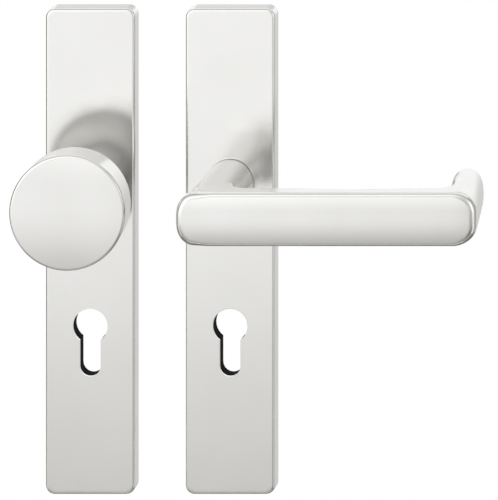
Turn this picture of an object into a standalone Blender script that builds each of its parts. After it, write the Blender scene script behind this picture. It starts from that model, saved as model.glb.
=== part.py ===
"""Door furniture set: a backplate with a fixed knob and a backplate with a sprung lever handle.

Metres, +Z up. The origin is on the lever's axis at the door's face. X runs to the right, Y into the door,
so both plates have their backs at Y = 0 and their fronts towards -Y.
"""
import math

import bmesh
import bpy
from mathutils import Matrix, Vector

# Both plates
PLATE_WIDTH = 0.0449
PLATE_HEIGHT = 0.2440
PLATE_DEPTH = 0.009
PLATE_CORNER_RADIUS = 0.0045
PLATE_EDGE_RADIUS = 0.0015
COVER_WALL = 0.0016
UNIT_SPACING = 0.0703
AXIS_BELOW_TOP = 0.0874
CYLINDER_BELOW_AXIS = 0.072
CUTOUT_DIAMETER = 0.0175
CUTOUT_SLOT_WIDTH = 0.0105
CUTOUT_DROP = 0.02525

# Clearances
FIT_GAP = 0.0003
CLOSE_GAP = 0.00015

# Lever handle, measured from its axis and from the front of its plate
LEVER_REACH = 0.1375
ELBOW_OVERHANG = 0.0143
NECK_DIAMETER = 0.024
GRIP_STANDOFF = 0.067
GRIP_HEIGHT = 0.0268
GRIP_THICKNESS = 0.0125
RETURN_ROOT_THICKNESS = 0.0145
RETURN_TIP_THICKNESS = 0.0162
RETURN_TIP_HEIGHT = 0.0252
RETURN_LEAN = 0.0056
RETURN_TIP_GAP = 0.014
RETURN_TIP_ROUNDING = 0.006
ELBOW_OUTER_RADIUS = 0.0075
ELBOW_INNER_RADIUS = 0.010
END_OUTER_RADIUS = 0.011
END_INNER_RADIUS = 0.010
# squareness of the sections at the neck's foot, both ends of the elbow, both ends of the bend and the tip
SECTION_POWERS = (2.0, 2.1, 4.4, 4.2, 3.4, 2.4)
SPIGOT_DIAMETER = 0.016
BUSH_WALL = 0.002

# Spindle and grub screw
SPINDLE_SIDE = 0.008
SPINDLE_IN_NECK = 0.028
SPINDLE_BEHIND_DOOR_FACE = 0.048
SPINDLE_CHAMFER = 0.0008
GRUB_DIAMETER = 0.006
GRUB_FROM_PLATE = 0.014
GRUB_INSET = 0.0008
GRUB_HEX_WIDTH = 0.003
GRUB_HEX_DEPTH = 0.003

# Return spring mechanism in the lever's base
BASE_FLOOR = 0.0015
SHEET_THICKNESS = 0.0012
SHEET_RECESS = 0.0003
SHEET_SIDE_WALL = 0.0025
SHEET_CORNER_RADIUS = 0.002
DRIVER_HUB_DIAMETER = 0.0165
DRIVER_ARM_REACH = 0.0135
DRIVER_ARM_WIDTH = 0.0044
THRUST_WASHER_THICKNESS = 0.0005
THRUST_WASHER_DIAMETER = 0.0145
PLUNGER_LENGTH = 0.007
PLUNGER_WIDTH = 0.0052
PLUNGER_NOSE_LENGTH = 0.003
SPRING_LENGTH = 0.022
SPRING_TURNS = 9
SPRING_WIRE = 0.0006

# Fasteners
MECHANISM_SCREW_DIAMETER = 0.002
MECHANISM_SCREW_HEAD = 0.004
MECHANISM_SCREW_LENGTH = 0.0045
MECHANISM_SCREW_EDGE = 0.004
MECHANISM_SCREW_RECESS = 0.0024
BOLT_DIAMETER = 0.005
BOLT_HEAD_DIAMETER = 0.009
BOLT_HEAD_HEIGHT = 0.0024
BOLT_BEHIND_DOOR_FACE = 0.045
BOLT_BELOW_TOP = 0.0155
BOLT_ABOVE_BOTTOM = 0.0165
BOLT_RECESS_WIDTH = 0.004
SLEEVE_DIAMETER = 0.008
SLEEVE_BORE = 0.0042
SLEEVE_FLANGE_DIAMETER = 0.012
SLEEVE_FLANGE_HEIGHT = 0.002
SLEEVE_BEHIND_DOOR_FACE = 0.026
RECESS_SLOT = 0.0008

# Spring clips between cover and base
CLIP_LENGTH = 0.007
CLIP_STRIP = 0.0004
CLIP_POCKET = 0.0024
CLIP_FROM_END = 0.024

# Moulded pockets in the back of the bases
RIB_THICKNESS = 0.0016
POCKET_FLOOR = 0.002
POCKET_SIDE_WALL = 0.003
POCKET_PITCH = 0.015

# Knob, measured from the front of its plate
KNOB_DIAMETER = 0.058
KNOB_STANDOFF = 0.054
KNOB_REAR_DIAMETER = 0.0562
KNOB_RIM_DEPTH = 0.0195
KNOB_CROWN = 0.0014
KNOB_EDGE_RADIUS = 0.0014
KNOB_WALL = 0.0018
KNOB_DISC_THICKNESS = 0.002
KNOB_NECK_DIAMETER = 0.024
KNOB_NECK_WAIST = 0.021
KNOB_SPIGOT_DIAMETER = 0.016
KNOB_THREAD_DIAMETER = 0.014
KNOB_NUT_WIDTH = 0.022
KNOB_NUT_HEIGHT = 0.006
KNOB_BOLT_DIAMETER = 0.008
KNOB_BOLT_HEAD_WIDTH = 0.013
KNOB_BOLT_HEAD_HEIGHT = 0.0036
KNOB_BOLT_IN_NECK = 0.022
KNOB_BOLT_CHAMFER = 0.0006
KNOB_WASHER_THICKNESS = 0.001
KNOB_WASHER_DIAMETER = 0.016
LOCK_PIN_DIAMETER = 0.0024
LOCK_PIN_IN_NECK = 0.006

# Facets
CIRCLE_STEPS = 40
SMALL_CIRCLE_STEPS = 16
HEX_STEPS = 24
KNOB_STEPS = 64
CROWN_STEPS = 4
WAIST_STEPS = 8
CORNER_STEPS = 5
EDGE_STEPS = 3
CUTOUT_ROUND_STEPS = 26
CUTOUT_SLOT_STEPS = 10
HUB_STEPS = 12
SECTION_STEPS = 28
STRAIGHT_STEPS = 5
BEND_STEPS = 7
TIP_STEPS = 4
WIRE_STEPS = 5
TURN_STEPS = 8
SHARP_ANGLE = math.radians(32)
# share of a dome that is rounded before the flat in its middle
TIP_CLOSURE = 0.94
CROWN_CLOSURE = 0.9

# Levels along Y, from the door's face to the front of the covers
COVER_FRONT = -PLATE_DEPTH
COVER_INSIDE = COVER_FRONT + COVER_WALL
BASE_FRONT = COVER_INSIDE + FIT_GAP
MECHANISM_FLOOR = BASE_FRONT + BASE_FLOOR
SHEET_BACK = -SHEET_RECESS
SHEET_FRONT = SHEET_BACK - SHEET_THICKNESS
WASHER_FRONT = SHEET_FRONT - FIT_GAP - THRUST_WASHER_THICKNESS
DRIVER_BACK = WASHER_FRONT - FIT_GAP
DRIVER_FRONT = MECHANISM_FLOOR + FIT_GAP
NECK_SEAT = COVER_FRONT - FIT_GAP

# Heights and places
PLATE_TOP = AXIS_BELOW_TOP
PLATE_BOTTOM = AXIS_BELOW_TOP - PLATE_HEIGHT
PLATE_MIDDLE = (PLATE_TOP + PLATE_BOTTOM) / 2
CUTOUT_CENTRE = -CYLINDER_BELOW_AXIS
BASE_WIDTH = PLATE_WIDTH - 2 * (COVER_WALL + FIT_GAP)
BASE_HEIGHT = PLATE_HEIGHT - 2 * (COVER_WALL + FIT_GAP)
CHANNEL_REACH = DRIVER_ARM_WIDTH / 2 + PLUNGER_LENGTH + SPRING_LENGTH + 3 * FIT_GAP
SHEET_WIDTH = BASE_WIDTH - 2 * SHEET_SIDE_WALL
SHEET_HEIGHT = 2 * (CHANNEL_REACH + 2 * MECHANISM_SCREW_EDGE)
BOLT_HEIGHTS = {"upper": PLATE_TOP - BOLT_BELOW_TOP, "lower": PLATE_BOTTOM + BOLT_ABOVE_BOTTOM}
PAST = 0.002

FINISHES = {
    "satin_aluminium": ((0.80, 0.80, 0.79), 1.0, 0.34),
    "black_nylon": ((0.015, 0.015, 0.016), 0.0, 0.55),
    "white_acetal": ((0.80, 0.79, 0.75), 0.0, 0.45),
    "zinc_steel": ((0.62, 0.63, 0.64), 1.0, 0.38),
    "spring_steel": ((0.42, 0.43, 0.45), 1.0, 0.32),
    "black_steel": ((0.035, 0.035, 0.038), 0.9, 0.45),
    "cast_zinc": ((0.50, 0.51, 0.53), 1.0, 0.48),
}


def clear_scene():
    for existing in list(bpy.data.objects):
        bpy.data.objects.remove(existing)


def add_unit(name, x):
    unit = bpy.data.objects.new(name, None)
    unit.location = (x, 0.0, 0.0)
    bpy.context.scene.collection.objects.link(unit)
    return unit


def give_finish(piece, finish):
    colour, metallic, roughness = FINISHES[finish]
    material = bpy.data.materials.new(piece.name + "_" + finish)
    material.use_nodes = True
    shader = material.node_tree.nodes["Principled BSDF"]
    shader.inputs["Base Color"].default_value = (*colour, 1.0)
    shader.inputs["Metallic"].default_value = metallic
    shader.inputs["Roughness"].default_value = roughness
    piece.data.materials.clear()
    piece.data.materials.append(material)


def add_mesh(name, bm):
    bmesh.ops.recalc_face_normals(bm, faces=bm.faces)
    mesh = bpy.data.meshes.new(name)
    bm.to_mesh(mesh)
    bm.free()
    mesh.shade_smooth()
    mesh.set_sharp_from_angle(angle=SHARP_ANGLE)
    piece = bpy.data.objects.new(name, mesh)
    bpy.context.scene.collection.objects.link(piece)
    return piece


def loft(name, rings, closed=False):
    """Skin over rings of equally many points, with flat ends, or joined end to start if closed."""
    bm = bmesh.new()
    loops = [[bm.verts.new(point) for point in ring] for ring in rings]
    pairs = list(zip(loops, loops[1:]))
    if closed:
        pairs.append((loops[-1], loops[0]))
    for first, second in pairs:
        for i in range(len(first)):
            j = (i + 1) % len(first)
            bm.faces.new((first[i], first[j], second[j], second[i]))
    if not closed:
        bm.faces.new(loops[0])
        bm.faces.new(loops[-1])
    return add_mesh(name, bm)


def circle(radius, y, steps, x=0.0, z=0.0):
    turns = [2 * math.pi * i / steps for i in range(steps)]
    return [(x + radius * math.cos(a), y, z + radius * math.sin(a)) for a in turns]


def turned(name, profile, steps=CIRCLE_STEPS, x=0.0, z=0.0, closed=False):
    """Solid of revolution about a line along Y, from (radius, y) points."""
    return loft(name, [circle(radius, y, steps, x, z) for radius, y in profile], closed)


def turned_ring(name, inner, outer, y0, y1, steps=CIRCLE_STEPS, x=0.0, z=0.0):
    profile = [(inner, y0), (outer, y0), (outer, y1), (inner, y1)]
    return turned(name, profile, steps, x, z, closed=True)


def prism(name, outline, y0, y1):
    """Outline of (x, z) points, extruded along Y."""
    return loft(name, [[(x, y, z) for x, z in outline] for y in (y0, y1)])


def rounded_rectangle(width, height, radius, x=0.0, z=0.0):
    points = []
    for quarter, (sx, sz) in enumerate(((1, 1), (-1, 1), (-1, -1), (1, -1))):
        for i in range(CORNER_STEPS + 1):
            a = math.pi / 2 * (quarter + i / CORNER_STEPS)
            px = x + sx * (width / 2 - radius) + radius * math.cos(a)
            pz = z + sz * (height / 2 - radius) + radius * math.sin(a)
            points.append((px, pz))
    return points


def hexagon(width, x=0.0, z=0.0):
    corner = width / math.sqrt(3)
    turns = [math.pi / 3 * i for i in range(6)]
    return [(x + corner * math.cos(a), z + corner * math.sin(a)) for a in turns]


def box_outline(x0, x1, z0, z1):
    return [(x0, z0), (x1, z0), (x1, z1), (x0, z1)]


def cylinder_cutout():
    """Outline of a profile cylinder: a circle that runs down into a round-ended slot."""
    radius = CUTOUT_DIAMETER / 2
    half = CUTOUT_SLOT_WIDTH / 2
    junction = math.asin(half / radius)
    start, sweep = -math.pi / 2 + junction, 2 * (math.pi - junction)
    slot_end = CUTOUT_CENTRE - CUTOUT_DROP + half
    points = []
    for i in range(CUTOUT_ROUND_STEPS + 1):
        a = start + sweep * i / CUTOUT_ROUND_STEPS
        points.append((radius * math.cos(a), CUTOUT_CENTRE + radius * math.sin(a)))
    for i in range(CUTOUT_SLOT_STEPS + 1):
        a = math.pi + math.pi * i / CUTOUT_SLOT_STEPS
        points.append((half * math.cos(a), slot_end + half * math.sin(a)))
    return points


def cut(piece, *cutters):
    """Takes the cutters out of the piece and removes them."""
    for cutter in cutters:
        difference = piece.modifiers.new(cutter.name, "BOOLEAN")
        difference.operation = "DIFFERENCE"
        difference.object = cutter
    bpy.context.view_layer.update()
    shaped = piece.evaluated_get(bpy.context.evaluated_depsgraph_get())
    piece.data = bpy.data.meshes.new_from_object(shaped)
    piece.modifiers.clear()
    for cutter in cutters:
        bpy.data.objects.remove(cutter)
    return piece


def place(piece, unit, finish):
    give_finish(piece, finish)
    piece.parent = unit
    return piece


def cross_recess(name, width, y0, y1, x=0.0, z=0.0):
    """Two crossed slots for a screwdriver, as one plus-shaped prism."""
    w, s = width / 2, RECESS_SLOT / 2
    plus = [(w, -s), (w, s), (s, s), (s, w), (-s, w), (-s, s)]
    plus += [(-w, s), (-w, -s), (-s, -s), (-s, -w), (s, -w), (s, -s)]
    return prism(name, [(x + px, z + pz) for px, pz in plus], y0, y1)


def cover_plate(name, unit, hole_diameter):
    """Pressed aluminium cover: a shallow tray with a rounded front edge, open at the back."""
    edge = [(0.0, 0.0)]
    for i in range(EDGE_STEPS + 1):
        a = math.pi / 2 * i / EDGE_STEPS
        inset = PLATE_EDGE_RADIUS * (1 - math.cos(a))
        edge.append((inset, COVER_FRONT + PLATE_EDGE_RADIUS * (1 - math.sin(a))))
    rings = []
    for inset, y in edge:
        width, height = PLATE_WIDTH - 2 * inset, PLATE_HEIGHT - 2 * inset
        outline = rounded_rectangle(width, height, PLATE_CORNER_RADIUS - inset, z=PLATE_MIDDLE)
        rings.append([(x, y, z) for x, z in outline])
    cover = loft(name, rings)
    inside = rounded_rectangle(
        PLATE_WIDTH - 2 * COVER_WALL,
        PLATE_HEIGHT - 2 * COVER_WALL,
        PLATE_CORNER_RADIUS - COVER_WALL,
        z=PLATE_MIDDLE,
    )
    cavity = prism("cavity", inside, COVER_INSIDE, PAST)
    hole = turned("hole", [(hole_diameter / 2, COVER_FRONT - PAST), (hole_diameter / 2, PAST)])
    cylinder = prism("cylinder", cylinder_cutout(), COVER_FRONT - PAST, PAST)
    cut(cover, cavity, hole, cylinder)
    return place(cover, unit, "satin_aluminium")


def clip_places():
    """(side, height) of the four clips of a plate."""
    heights = (PLATE_TOP - CLIP_FROM_END, PLATE_BOTTOM + CLIP_FROM_END)
    return [(side, z) for z in heights for side in (-1, 1)]


def base_block(name):
    """Moulded base that fills the cover, with the cylinder cut-out and the clip pockets."""
    corner = PLATE_CORNER_RADIUS - COVER_WALL - FIT_GAP
    outline = rounded_rectangle(BASE_WIDTH, BASE_HEIGHT, corner, z=PLATE_MIDDLE)
    base = prism(name, outline, BASE_FRONT, 0.0)
    cutters = [prism("cylinder", cylinder_cutout(), BASE_FRONT - PAST, PAST)]
    for side, z in clip_places():
        inner, outer = side * (BASE_WIDTH / 2 - CLIP_POCKET), side * (BASE_WIDTH / 2 + PAST)
        half = CLIP_LENGTH / 2 + FIT_GAP
        pocket = box_outline(min(inner, outer), max(inner, outer), z - half, z + half)
        cutters.append(prism("clip_pocket", pocket, BASE_FRONT - PAST, PAST))
    return cut(base, *cutters)


def back_pockets(base, low, high):
    """Two columns of moulded pockets in the back of a base, as many rows as fit, with ribs between them."""
    half_width = BASE_WIDTH / 2 - CLIP_POCKET - POCKET_SIDE_WALL
    rows = round((high - low) / POCKET_PITCH)
    cutters = []
    for row in range(rows):
        z0 = mix(low, high, row / rows) + RIB_THICKNESS / 2
        z1 = mix(low, high, (row + 1) / rows) - RIB_THICKNESS / 2
        for x0, x1 in ((-half_width, -RIB_THICKNESS / 2), (RIB_THICKNESS / 2, half_width)):
            outline = box_outline(x0, x1, z0, z1)
            cutters.append(prism("pocket", outline, BASE_FRONT + POCKET_FLOOR, PAST))
    cut(base, *cutters)


def cover_clips(prefix, unit):
    """Bent spring strips that sit in the base's side pockets and grip the cover's wall."""
    root = BASE_WIDTH / 2 - CLIP_POCKET + FIT_GAP
    wall = PLATE_WIDTH / 2 - COVER_WALL - FIT_GAP
    back, front = -FIT_GAP, BASE_FRONT + FIT_GAP
    bend = (back + front) / 2
    spine = [(root, back), (root, front), (root + CLIP_STRIP, front), (wall, bend)]
    spine += [(wall - CLIP_STRIP, bend), (root + CLIP_STRIP, front + 3 * CLIP_STRIP)]
    spine += [(root + CLIP_STRIP, back)]
    for number, (side, z) in enumerate(clip_places(), start=1):
        ends = (z - CLIP_LENGTH / 2, z + CLIP_LENGTH / 2)
        rings = [[(side * x, y, end) for x, y in spine] for end in ends]
        place(loft(f"{prefix}_cover_clip_{number}", rings), unit, "spring_steel")


def superellipse(outer, inner, half_height, power):
    """Closed section between an outer and an inner point of the plan, squarer as the power grows."""
    centre, arm = (outer + inner) / 2, (outer - inner) / 2
    points = []
    for i in range(SECTION_STEPS):
        a = 2 * math.pi * i / SECTION_STEPS
        c, s = math.cos(a), math.sin(a)
        across = math.copysign(abs(c) ** (2 / power), c)
        up = math.copysign(abs(s) ** (2 / power), s)
        point = centre + arm * across
        points.append((point.x, point.y, half_height * up))
    return points


def bent_line(corners, radii):
    """Points along a line in plan with its two corners rounded, run by run."""
    start, first, second, end = (Vector(corner) for corner in corners)
    runs, here = [], start
    bends = ((start, first, second, radii[0]), (first, second, end, radii[1]))
    for before, corner, after, radius in bends:
        back, ahead = (before - corner).normalized(), (after - corner).normalized()
        half_turn = back.angle(ahead) / 2
        reach = radius / math.tan(half_turn)
        centre = corner + (back + ahead).normalized() * (radius / math.sin(half_turn))
        enter, leave = corner + back * reach, corner + ahead * reach
        runs.append([here.lerp(enter, i / STRAIGHT_STEPS) for i in range(STRAIGHT_STEPS)])
        sweep = (enter - centre).angle_signed(leave - centre)
        turn = [Matrix.Rotation(-sweep * i / BEND_STEPS, 2) for i in range(BEND_STEPS)]
        runs.append([centre + matrix @ (enter - centre) for matrix in turn])
        here = leave
    runs.append([here.lerp(end, i / STRAIGHT_STEPS) for i in range(STRAIGHT_STEPS + 1)])
    return runs


def mix(a, b, share):
    return a + (b - a) * share


def lever_sections():
    """Sections of the lever from its neck, round the elbow, along the grip and back to the tip."""
    neck = NECK_DIAMETER / 2
    front = COVER_FRONT - GRIP_STANDOFF
    back = front + GRIP_THICKNESS
    tip = COVER_FRONT - RETURN_TIP_GAP - RETURN_TIP_ROUNDING
    tip_outer = LEVER_REACH - RETURN_LEAN
    tip_inner = tip_outer - RETURN_TIP_THICKNESS
    root_inner = LEVER_REACH - RETURN_ROOT_THICKNESS
    outer_corners = [(-neck, NECK_SEAT), (-ELBOW_OVERHANG, front), (LEVER_REACH, front), (tip_outer, tip)]
    inner_corners = [(neck, NECK_SEAT), (neck, back), (root_inner, back), (tip_inner, tip)]
    outer = bent_line(outer_corners, (ELBOW_OUTER_RADIUS, END_OUTER_RADIUS))
    inner = bent_line(inner_corners, (ELBOW_INNER_RADIUS, END_INNER_RADIUS))
    grip = GRIP_HEIGHT / 2
    heights = (neck, neck, grip, grip, grip, RETURN_TIP_HEIGHT / 2)
    sections = []
    for run, (outer_points, inner_points) in enumerate(zip(outer, inner)):
        for i, (o, n) in enumerate(zip(outer_points, inner_points)):
            share = i / (STRAIGHT_STEPS if run % 2 == 0 else BEND_STEPS)
            height = mix(heights[run], heights[run + 1], share)
            power = mix(SECTION_POWERS[run], SECTION_POWERS[run + 1], share)
            sections.append(superellipse(o, n, height, power))
    middle, half = (tip_outer + tip_inner) / 2, RETURN_TIP_THICKNESS / 2
    for i in range(1, TIP_STEPS + 1):
        a = math.pi / 2 * TIP_CLOSURE * i / TIP_STEPS
        y = tip + RETURN_TIP_ROUNDING * math.sin(a)
        shrink = math.cos(a)
        o, n = Vector((middle + half * shrink, y)), Vector((middle - half * shrink, y))
        height = RETURN_TIP_HEIGHT / 2 - RETURN_TIP_ROUNDING * (1 - shrink)
        sections.append(superellipse(o, n, height, SECTION_POWERS[-1]))
    return sections


def lever_handle(axis):
    """Cast aluminium lever with its spigot, spindle socket and grub screw hole."""
    spigot = SPIGOT_DIAMETER / 2
    rings = []
    for level in (MECHANISM_FLOOR - FIT_GAP, NECK_SEAT):
        # mirrored, because the sections start at -X and go round the other way
        rings.append([(-x, y, z) for x, y, z in circle(spigot, level, SECTION_STEPS)])
    handle = loft("lever_handle", rings + lever_sections())
    half = SPINDLE_SIDE / 2 + CLOSE_GAP
    end = COVER_FRONT - SPINDLE_IN_NECK - FIT_GAP
    socket = prism("socket", box_outline(-half, half, -half, half), end, PAST)
    bore = GRUB_DIAMETER / 2 + CLOSE_GAP
    grub_hole = turned("grub_hole", [(bore, 0.0), (bore, NECK_DIAMETER)])
    grub_hole.rotation_euler = (-math.pi / 2, 0.0, 0.0)
    grub_hole.location = (0.0, COVER_FRONT - GRUB_FROM_PLATE, 0.0)
    cut(handle, socket, grub_hole)
    place(handle, axis, "satin_aluminium")


def spindle(axis):
    """Square steel bar with chamfered ends, held in the neck and running through the lock."""
    half, chamfer = SPINDLE_SIDE / 2, SPINDLE_CHAMFER
    front, back = COVER_FRONT - SPINDLE_IN_NECK, SPINDLE_BEHIND_DOOR_FACE
    profile = [(half - chamfer, front), (half, front + chamfer)]
    profile += [(half, back - chamfer), (half - chamfer, back)]
    rings = []
    for size, y in profile:
        rings.append([(x, y, z) for x, z in box_outline(-size, size, -size, size)])
    place(loft("spindle", rings), axis, "zinc_steel")


def grub_screw(axis):
    """Socket set screw under the neck, which bears on the spindle."""
    radius, chamfer = GRUB_DIAMETER / 2, GRUB_DIAMETER / 10
    bottom = NECK_DIAMETER / 2 - GRUB_INSET
    top = SPINDLE_SIDE / 2 + CLOSE_GAP
    profile = [(radius - chamfer, top), (radius, top + chamfer)]
    profile += [(radius, bottom - chamfer), (radius - chamfer, bottom)]
    screw = turned("grub_screw", profile, SMALL_CIRCLE_STEPS)
    cut(screw, prism("hex_socket", hexagon(GRUB_HEX_WIDTH), bottom - GRUB_HEX_DEPTH, bottom + PAST))
    screw.rotation_euler = (-math.pi / 2, 0.0, 0.0)
    screw.location = (0.0, COVER_FRONT - GRUB_FROM_PLATE, 0.0)
    place(screw, axis, "black_steel")


def spring_driver(axis):
    """Die-cast driver on the spindle, with an arm on either side to push the plungers."""
    hub, half = DRIVER_HUB_DIAMETER / 2, DRIVER_ARM_WIDTH / 2
    root = math.asin(half / hub)
    outline = []
    for side in (0.0, math.pi):
        outline.append((math.cos(side) * DRIVER_ARM_REACH, -math.cos(side) * half))
        outline.append((math.cos(side) * DRIVER_ARM_REACH, math.cos(side) * half))
        for i in range(HUB_STEPS + 1):
            a = side + root + (math.pi - 2 * root) * i / HUB_STEPS
            outline.append((hub * math.cos(a), hub * math.sin(a)))
    driver = prism("spring_driver", outline, DRIVER_FRONT, DRIVER_BACK)
    square = SPINDLE_SIDE / 2 + CLOSE_GAP
    cut(driver, prism("square", box_outline(-square, square, -square, square), DRIVER_FRONT - PAST, PAST))
    place(driver, axis, "cast_zinc")


def thrust_washer(axis):
    """Thin plastic washer between the driver and the sheet behind it."""
    bore = SPINDLE_SIDE / math.sqrt(2) + FIT_GAP
    back = WASHER_FRONT + THRUST_WASHER_THICKNESS
    washer = turned_ring("thrust_washer", bore, THRUST_WASHER_DIAMETER / 2, WASHER_FRONT, back)
    place(washer, axis, "white_acetal")


def plunger_thickness():
    return SHEET_FRONT - MECHANISM_FLOOR - 2 * FIT_GAP


def plunger_centre_x():
    return DRIVER_ARM_REACH - PLUNGER_WIDTH / 2


def spring_parts(unit, lower_body, upper_body):
    """The two plungers and their coil springs, lower right and upper left of the axis."""
    middle = (SHEET_FRONT + MECHANISM_FLOOR) / 2
    thickness = plunger_thickness()
    for name, direction, body in (("lower", -1, lower_body), ("upper", 1, upper_body)):
        x = -direction * plunger_centre_x()
        foot = direction * (DRIVER_ARM_WIDTH / 2 + FIT_GAP)
        shoulder = foot + direction * PLUNGER_LENGTH
        nose = shoulder + direction * PLUNGER_NOSE_LENGTH
        half, depth = PLUNGER_WIDTH / 2, thickness / 2
        slim = (depth - SPRING_WIRE - FIT_GAP) / math.sqrt(2)
        stations = [(half, depth, foot), (half, depth, shoulder)]
        stations += [(slim, slim, shoulder), (slim, slim, nose)]
        rings = []
        for hx, hy, z in stations:
            rings.append([(x + px, middle + py, z) for px, py in box_outline(-hx, hx, -hy, hy)])
        place(loft(f"spring_plunger_{name}", rings), body, "white_acetal")

        coil, wire = thickness / 2 - SPRING_WIRE / 2, SPRING_WIRE / 2
        start = shoulder + direction * (wire + FIT_GAP)
        climb = SPRING_LENGTH - SPRING_WIRE
        points = SPRING_TURNS * TURN_STEPS
        rings = []
        for i in range(points + 1):
            a = 2 * math.pi * i / TURN_STEPS
            out = Vector((math.cos(a), math.sin(a), 0.0))
            centre = Vector((x, middle, start + direction * climb * i / points)) + out * coil
            ring = []
            for k in range(WIRE_STEPS):
                b = 2 * math.pi * k / WIRE_STEPS
                ring.append(centre + out * (wire * math.cos(b)) + Vector((0, 0, wire * math.sin(b))))
            rings.append(ring)
        place(loft(f"return_spring_{name}", rings), unit, "spring_steel")


def mechanism_screw_places():
    x, z = SHEET_WIDTH / 2 - MECHANISM_SCREW_EDGE, SHEET_HEIGHT / 2 - MECHANISM_SCREW_EDGE
    return [(x, z), (-x, z), (-x, -z), (x, -z)]


def lever_base_plate(unit):
    """Black nylon base with the spring mechanism's hollow, the bolt seats and the bush seat."""
    base = base_block("lever_base_plate")
    recess = rounded_rectangle(SHEET_WIDTH + 2 * FIT_GAP, SHEET_HEIGHT + 2 * FIT_GAP, SHEET_CORNER_RADIUS)
    cutters = [prism("sheet_recess", recess, SHEET_FRONT - CLOSE_GAP, PAST)]
    sweep = math.hypot(DRIVER_ARM_REACH, DRIVER_ARM_WIDTH / 2) + FIT_GAP
    cutters.append(turned("driver_hollow", [(sweep, MECHANISM_FLOOR), (sweep, PAST)]))
    bush = SPIGOT_DIAMETER / 2 + CLOSE_GAP + BUSH_WALL + FIT_GAP
    cutters.append(turned("bush_seat", [(bush, BASE_FRONT - PAST), (bush, PAST)]))
    half = PLUNGER_WIDTH / 2 + FIT_GAP
    for direction in (-1, 1):
        x = -direction * plunger_centre_x()
        end = direction * CHANNEL_REACH
        channel = box_outline(x - half, x + half, min(0, end), max(0, end))
        cutters.append(prism("channel", channel, MECHANISM_FLOOR, PAST))
    for x, z in mechanism_screw_places():
        hole = MECHANISM_SCREW_DIAMETER / 2 + CLOSE_GAP
        end = SHEET_BACK - MECHANISM_SCREW_LENGTH - FIT_GAP
        cutters.append(turned("screw_hole", [(hole, end), (hole, PAST)], SMALL_CIRCLE_STEPS, x, z))
    seat = BASE_FRONT + 2 * FIT_GAP + BOLT_HEAD_HEIGHT
    for z in BOLT_HEIGHTS.values():
        head, shank = BOLT_HEAD_DIAMETER / 2 + FIT_GAP, BOLT_DIAMETER / 2 + FIT_GAP
        profile = [(head, BASE_FRONT - PAST), (head, seat), (shank, seat), (shank, PAST)]
        cutters.append(turned("bolt_seat", profile, SMALL_CIRCLE_STEPS, z=z))
    cut(base, *cutters)
    cutout_bottom = CUTOUT_CENTRE - CUTOUT_DROP
    low = BOLT_HEIGHTS["lower"] + BOLT_HEAD_DIAMETER
    back_pockets(base, low, cutout_bottom - 2 * RIB_THICKNESS)
    return place(base, unit, "black_nylon")


def mechanism_cover(unit):
    """Steel sheet that closes the spring mechanism at the back, with countersunk screws."""
    outline = rounded_rectangle(SHEET_WIDTH, SHEET_HEIGHT, SHEET_CORNER_RADIUS)
    sheet = prism("mechanism_cover", outline, SHEET_FRONT, SHEET_BACK)
    bore = SPINDLE_SIDE / math.sqrt(2) + 2 * FIT_GAP
    cutters = [turned("spindle_hole", [(bore, SHEET_FRONT - PAST), (bore, PAST)])]
    head, shank = MECHANISM_SCREW_HEAD / 2, MECHANISM_SCREW_DIAMETER / 2
    cone = head - shank
    profile = [(shank, SHEET_FRONT - PAST), (shank, SHEET_BACK - cone), (head, SHEET_BACK), (head, PAST)]
    profile = [(radius + CLOSE_GAP, y) for radius, y in profile]
    for x, z in mechanism_screw_places():
        cutters.append(turned("countersink", profile, SMALL_CIRCLE_STEPS, x, z))
    cut(sheet, *cutters)
    place(sheet, unit, "zinc_steel")

    tip = SHEET_BACK - MECHANISM_SCREW_LENGTH
    profile = [(shank / 2, tip), (shank, tip + shank), (shank, SHEET_BACK - cone), (head, SHEET_BACK)]
    for number, (x, z) in enumerate(mechanism_screw_places(), start=1):
        screw = turned(f"mechanism_screw_{number}", profile, SMALL_CIRCLE_STEPS, x, z)
        cut(screw, cross_recess("recess", MECHANISM_SCREW_RECESS, SHEET_BACK - RECESS_SLOT, PAST, x, z))
        place(screw, unit, "zinc_steel")


def lever_guide_bush(unit):
    """Plastic bush in the cover's and the base's hole, in which the lever's spigot turns."""
    bore = SPIGOT_DIAMETER / 2 + CLOSE_GAP
    front, back = COVER_FRONT + CLOSE_GAP, MECHANISM_FLOOR - CLOSE_GAP
    bush = turned_ring("lever_guide_bush", bore, bore + BUSH_WALL, front, back)
    place(bush, unit, "white_acetal")


def through_bolts(unit):
    """Machine screws that clamp the two bases on the door, hidden under the cover."""
    head, shank = BOLT_HEAD_DIAMETER / 2, BOLT_DIAMETER / 2
    front = BASE_FRONT + FIT_GAP
    under = front + BOLT_HEAD_HEIGHT
    edge = BOLT_HEAD_HEIGHT / 4
    chamfer = shank / 3
    profile = [(head - edge, front), (head, front + edge), (head, under), (shank, under)]
    profile += [(shank, BOLT_BEHIND_DOOR_FACE - chamfer), (shank - chamfer, BOLT_BEHIND_DOOR_FACE)]
    for name, z in BOLT_HEIGHTS.items():
        bolt = turned(f"through_bolt_{name}", profile, SMALL_CIRCLE_STEPS, z=z)
        bottom = front + BOLT_HEAD_HEIGHT / 2
        cut(bolt, cross_recess("recess", BOLT_RECESS_WIDTH, front - PAST, bottom, z=z))
        place(bolt, unit, "zinc_steel")


def knob_bolt_levels():
    """Y of the bolt head's back, the washer's back and the washer's front."""
    head_back = -FIT_GAP
    washer_back = head_back - KNOB_BOLT_HEAD_HEIGHT - CLOSE_GAP
    return head_back, washer_back, washer_back - KNOB_WASHER_THICKNESS


def lock_pin_place():
    """Middle of the neck's shoulder, above the axis."""
    return (KNOB_NECK_DIAMETER + KNOB_SPIGOT_DIAMETER) / 4


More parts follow.
